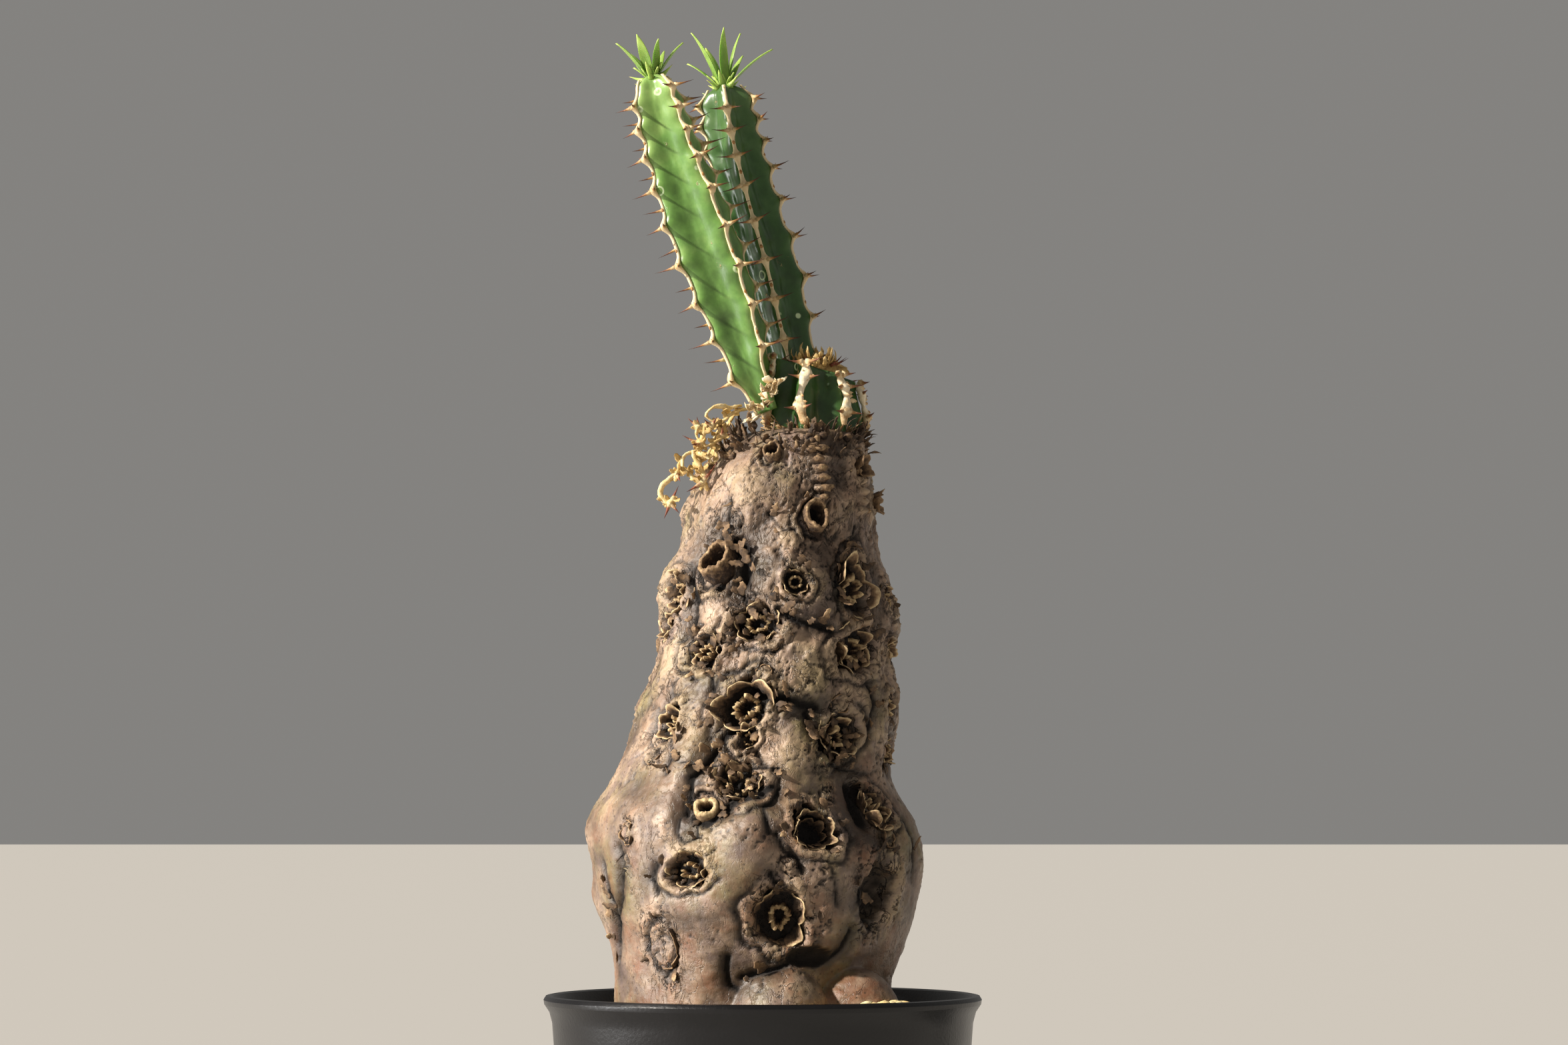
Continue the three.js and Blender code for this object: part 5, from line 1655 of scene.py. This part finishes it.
class EUPHORBIA_OT_fringe(bpy.types.Operator):
    """Make the fibres where the stump's green meets the bark"""

    bl_idname = "euphorbia.fringe"
    bl_label = "Fringe"

    def execute(self, context):
        bm = new_shape()
        for i in range(FIBRES):
            turn = FULL_TURN * draw(i + 11)
            if i <= FRONT_FIBRES:
                turn = math.radians(STUMP_FIRST) + 1.1 * (draw(i) - 0.5)
            crest, radius = stump_ridge(turn)
            away = spoke(turn)
            up = 153 + (5.5 * crest if i < FRONT_FIBRES else 2.2 * crest) * draw(i + 50)
            root = Vector((STUMP_X, 0, POT_HEIGHT + up)) + away * (0.92 * radius + 0.8 * draw(i + 30))
            side = Vector((-away.y, away.x, 0)) * (draw(i + 70) - 0.5)
            direction = Vector((0, 0, 1.2)) + away * (0.2 + 0.9 * draw(i + 90)) + side
            add_blade(bm, root, direction, away, 1.8 + 2.6 * draw(i + 110), 0.6 + 0.7 * draw(i + 130), 0.9,
                      thick=0.3, seed=i, cup=0.2, ragged=0.3, rows=4, sides=6,
                      tints=(0.4, 0.15 + 0.2 * draw(i + 150)))
        for i in range(FLAPS):
            rise = draw(i + 400)
            across = -4.5 + 8 * rise + 3.5 * (draw(i + 410) - 0.5)
            root = Vector((across, -11 - 2 * rise, POT_HEIGHT + 156.5 + 12 * rise))
            aim = Vector((2 * draw(i + 420) - 1, -0.4 - 0.4 * draw(i + 430), 1.4 * draw(i + 440) - 0.9))
            add_blade(bm, root, aim, Vector((0, -1, 0.3)), 2.4 + 2.4 * draw(i + 460),
                      2.2 + 2 * draw(i + 470), 1.2, thick=0.4, seed=i, cup=0.3, ragged=0.5, rows=8,
                      tints=(0.25 * draw(i + 480), 0.35 * draw(i + 490)))
        piece("stump_fringe", bm, [scarred_cork_finish()], "scarred_cork")
        return {"FINISHED"}


class EUPHORBIA_OT_callus(bpy.types.Operator):
    """Make the crusty dried cap on the stump"""

    bl_idname = "euphorbia.callus"
    bl_label = "Callus"

    def execute(self, context):
        x, y, radius, height = CALLUS
        low = POT_HEIGHT + STUMP_TOP - 1.6
        bm = new_shape()

        def place(turn, share, reach):
            r = reach * radius * (0.9 + 0.25 * math.sin(3 * turn + 1)) * (1 - 0.45 * share**2)
            level = low + share * height
            point = Vector((x + 1.25 * r * math.cos(turn), y + 0.8 * r * math.sin(turn), level))
            push = 1.0 * rough(point, 2.2, 3) + 0.5 * rough(point, 0.9, 4)
            outwards = Vector((math.cos(turn), math.sin(turn), 0.6))
            return point + outwards * push * reach, 0.3 + 0.4 * rough(point, 1.4)

        add_rod(bm, 48, 14, place)
        for i in range(CRUST_SCRAPS):
            away = spoke(FULL_TURN * draw(i))
            root = Vector((x, y, low + 1.5 + 3 * draw(i + 9))) + away * radius * (0.4 + 0.6 * draw(i + 5))
            aim = away + Vector((0, 0, 1.4 * draw(i + 3) - 0.1))
            add_blade(bm, root, aim, UP, 2 + 3.2 * draw(i + 7), 0.9 + 1.6 * draw(i + 8), 1.5, seed=i, cup=0.3,
                      ragged=0.5, sides=6, tints=(0.15, 0.5))
        for i in range(CRUST_THORNS):
            turn = FULL_TURN * draw(i + 60)
            away = Vector((math.cos(turn), math.sin(turn), 0.35 + 0.5 * draw(i + 61)))
            root = Vector((x, y, low + 2.4)) + Vector((away.x, away.y, 0)) * radius * 0.7
            add_thorn(bm, root, root + away.normalized() * (4 + 2 * draw(i + 62)), 0.4, 0.05, (0.75, 1.0))
        piece("stump_crust", bm, [dried_finish()], "dried_tissue", "stump_callus")
        return {"FINISHED"}


class EUPHORBIA_OT_dry_branch(bpy.types.Operator):
    """Make the dried lace of the dead branch"""

    bl_idname = "euphorbia.dry_branch"
    bl_label = "Dead branch"

    def execute(self, context):
        bm = new_shape()
        for number, points in enumerate(DRY_STRANDS):
            add_strand(bm, points, 0.78, number)
        for number, (middle, thorns) in enumerate(DRY_SHIELDS):
            centre = Vector(above_rim(middle))
            for k, tip in enumerate(thorns):
                add_thorn(bm, centre, above_rim(tip), 0.62, 0.03, (0.55, 1.0), 7, 6)
            for k in range(SHIELD_SCRAPS):
                n = number * 11 + k
                turn = FULL_TURN * (k + draw(n)) / SHIELD_SCRAPS
                away = Vector((math.cos(turn), 0.5 * (draw(n + 3) - 0.5), math.sin(turn)))
                add_blade(bm, centre, away, TO_VIEWER, 1.6 + 1.4 * draw(n + 5), 1.7, 0.8, thick=0.4, seed=n,
                          cup=0.2, ragged=0.4, rows=5, sides=6, tints=(0.6, 0.4))
        for i in range(STRAND_SCRAPS):
            strand = DRY_STRANDS[i % len(DRY_STRANDS)]
            at = Path([above_rim(p) for p in strand]).at(draw(i + 40))
            turn = FULL_TURN * draw(i + 41)
            away = Vector((math.cos(turn), 0.8 * (draw(i + 42) - 0.5), math.sin(turn)))
            add_blade(bm, at, away, Vector((0, -1, 0.3)), 1.6 + 2.2 * draw(i + 43), 2.2, 1.4, thick=0.3,
                      seed=i, cup=0.3, ragged=0.6, sides=6, tints=(0.45, 0.05 + 0.45 * draw(i + 44)))
        piece("dry_lace", bm, [dried_finish()], "dried_tissue", "dry_branch")
        return {"FINISHED"}


class EUPHORBIA_OT_stage(bpy.types.Operator):
    """Set up the pale floor, the light and the camera"""

    bl_idname = "euphorbia.stage"
    bl_label = "Studio"

    def execute(self, context):
        settings = context.scene.euphorbia_studio
        bm = bmesh.new()
        bmesh.ops.create_grid(bm, x_segments=8, y_segments=8, size=FLOOR_HALF)
        mesh = bpy.data.meshes.new("studio_floor")
        bm.to_mesh(mesh)
        bm.free()
        mesh.materials.append(floor_finish(settings))
        floor = bpy.data.objects.new("studio_floor", mesh)
        context.scene.collection.objects.link(floor)

        sun = bpy.data.lights.new("key", "SUN")
        sun.energy = settings.key
        sun.angle = SUN_WIDTH
        sun.color = linear("#fff8ee")[:3]
        key = bpy.data.objects.new("key", sun)
        flat = math.cos(settings.key_height)
        towards = Vector((-math.sin(settings.key_from) * flat, -math.cos(settings.key_from) * flat,
                          math.sin(settings.key_height)))
        key.rotation_euler = towards.to_track_quat("Z", "Y").to_euler()
        context.scene.collection.objects.link(key)

        panel = bpy.data.lights.new("side_light", "AREA")
        panel.shape = "RECTANGLE"
        panel.size, panel.size_y = SIDE_LIGHT_SIZE
        panel.energy = settings.side
        side = bpy.data.objects.new("side_light", panel)
        side.location = SIDE_LIGHT_PLACE
        middle = Vector((0, 0, POT_HEIGHT * MM))
        side.rotation_euler = (side.location - middle).to_track_quat("Z", "Y").to_euler()
        context.scene.collection.objects.link(side)

        world = bpy.data.worlds.new("studio_air")
        world.use_nodes = True
        tree = world.node_tree
        tree.nodes.clear()
        air = add_node(tree, "ShaderNodeBackground", {"Color": linear("#f6f3ee"), "Strength": settings.fill})
        add_node(tree, "ShaderNodeOutputWorld", {"Surface": air.outputs[0]})
        context.scene.world = world
        context.scene.view_settings.view_transform = "Standard"

        lens = bpy.data.cameras.new("viewpoint")
        lens.sensor_width = SENSOR_WIDTH
        lens.lens = FOCAL_LENGTH
        lens.shift_x = PLANT_OFFSET / PICTURE_WIDTH
        lens.clip_start = 0.01
        lens.clip_end = 60
        camera = bpy.data.objects.new("viewpoint", lens)
        camera.location = (0, -settings.distance, POT_HEIGHT * MM + settings.height)
        camera.rotation_euler = (math.pi / 2 + settings.tilt, 0, 0)
        context.scene.collection.objects.link(camera)
        context.scene.camera = camera
        return {"FINISHED"}


STEPS = [
    EUPHORBIA_OT_stage, EUPHORBIA_OT_pot, EUPHORBIA_OT_mix, EUPHORBIA_OT_caudex, EUPHORBIA_OT_scars,
    EUPHORBIA_OT_flakes, EUPHORBIA_OT_stems, EUPHORBIA_OT_margins, EUPHORBIA_OT_leaves, EUPHORBIA_OT_stump,
    EUPHORBIA_OT_stump_margins, EUPHORBIA_OT_fringe, EUPHORBIA_OT_callus, EUPHORBIA_OT_dry_branch,
]
GROUPS = {
    "euphorbia_pot": PotSettings,
    "euphorbia_bark": BarkSettings,
    "euphorbia_stem": StemSettings,
    "euphorbia_studio": StudioSettings,
}


class EUPHORBIA_PT_build(bpy.types.Panel):
    """Settings and steps of the potted euphorbia"""

    bl_idname = "EUPHORBIA_PT_build"
    bl_label = "Potted Euphorbia"
    bl_space_type = "VIEW_3D"
    bl_region_type = "UI"
    bl_category = "Euphorbia"

    def draw(self, context):
        for name, group in GROUPS.items():
            box = self.layout.box()
            for prop in group.__annotations__:
                box.prop(getattr(context.scene, name), prop)
        for made in STEPS:
            self.layout.operator(made.bl_idname)


def register():
    for made in [*GROUPS.values(), *STEPS, EUPHORBIA_PT_build]:
        bpy.utils.register_class(made)
    for name, group in GROUPS.items():
        setattr(bpy.types.Scene, name, bpy.props.PointerProperty(type=group))


def unregister():
    for name in GROUPS:
        delattr(bpy.types.Scene, name)
    for made in [EUPHORBIA_PT_build, *reversed(STEPS), *reversed(GROUPS.values())]:
        bpy.utils.unregister_class(made)


def main():
    """Runs every step in order, then removes the template meshes."""
    register()
    for made in STEPS:
        group, name = made.bl_idname.split(".")
        getattr(getattr(bpy.ops, group), name)()
    for template in _templates.values():
        bpy.data.meshes.remove(template)
    _templates.clear()


if __name__ == "__main__":
    main()
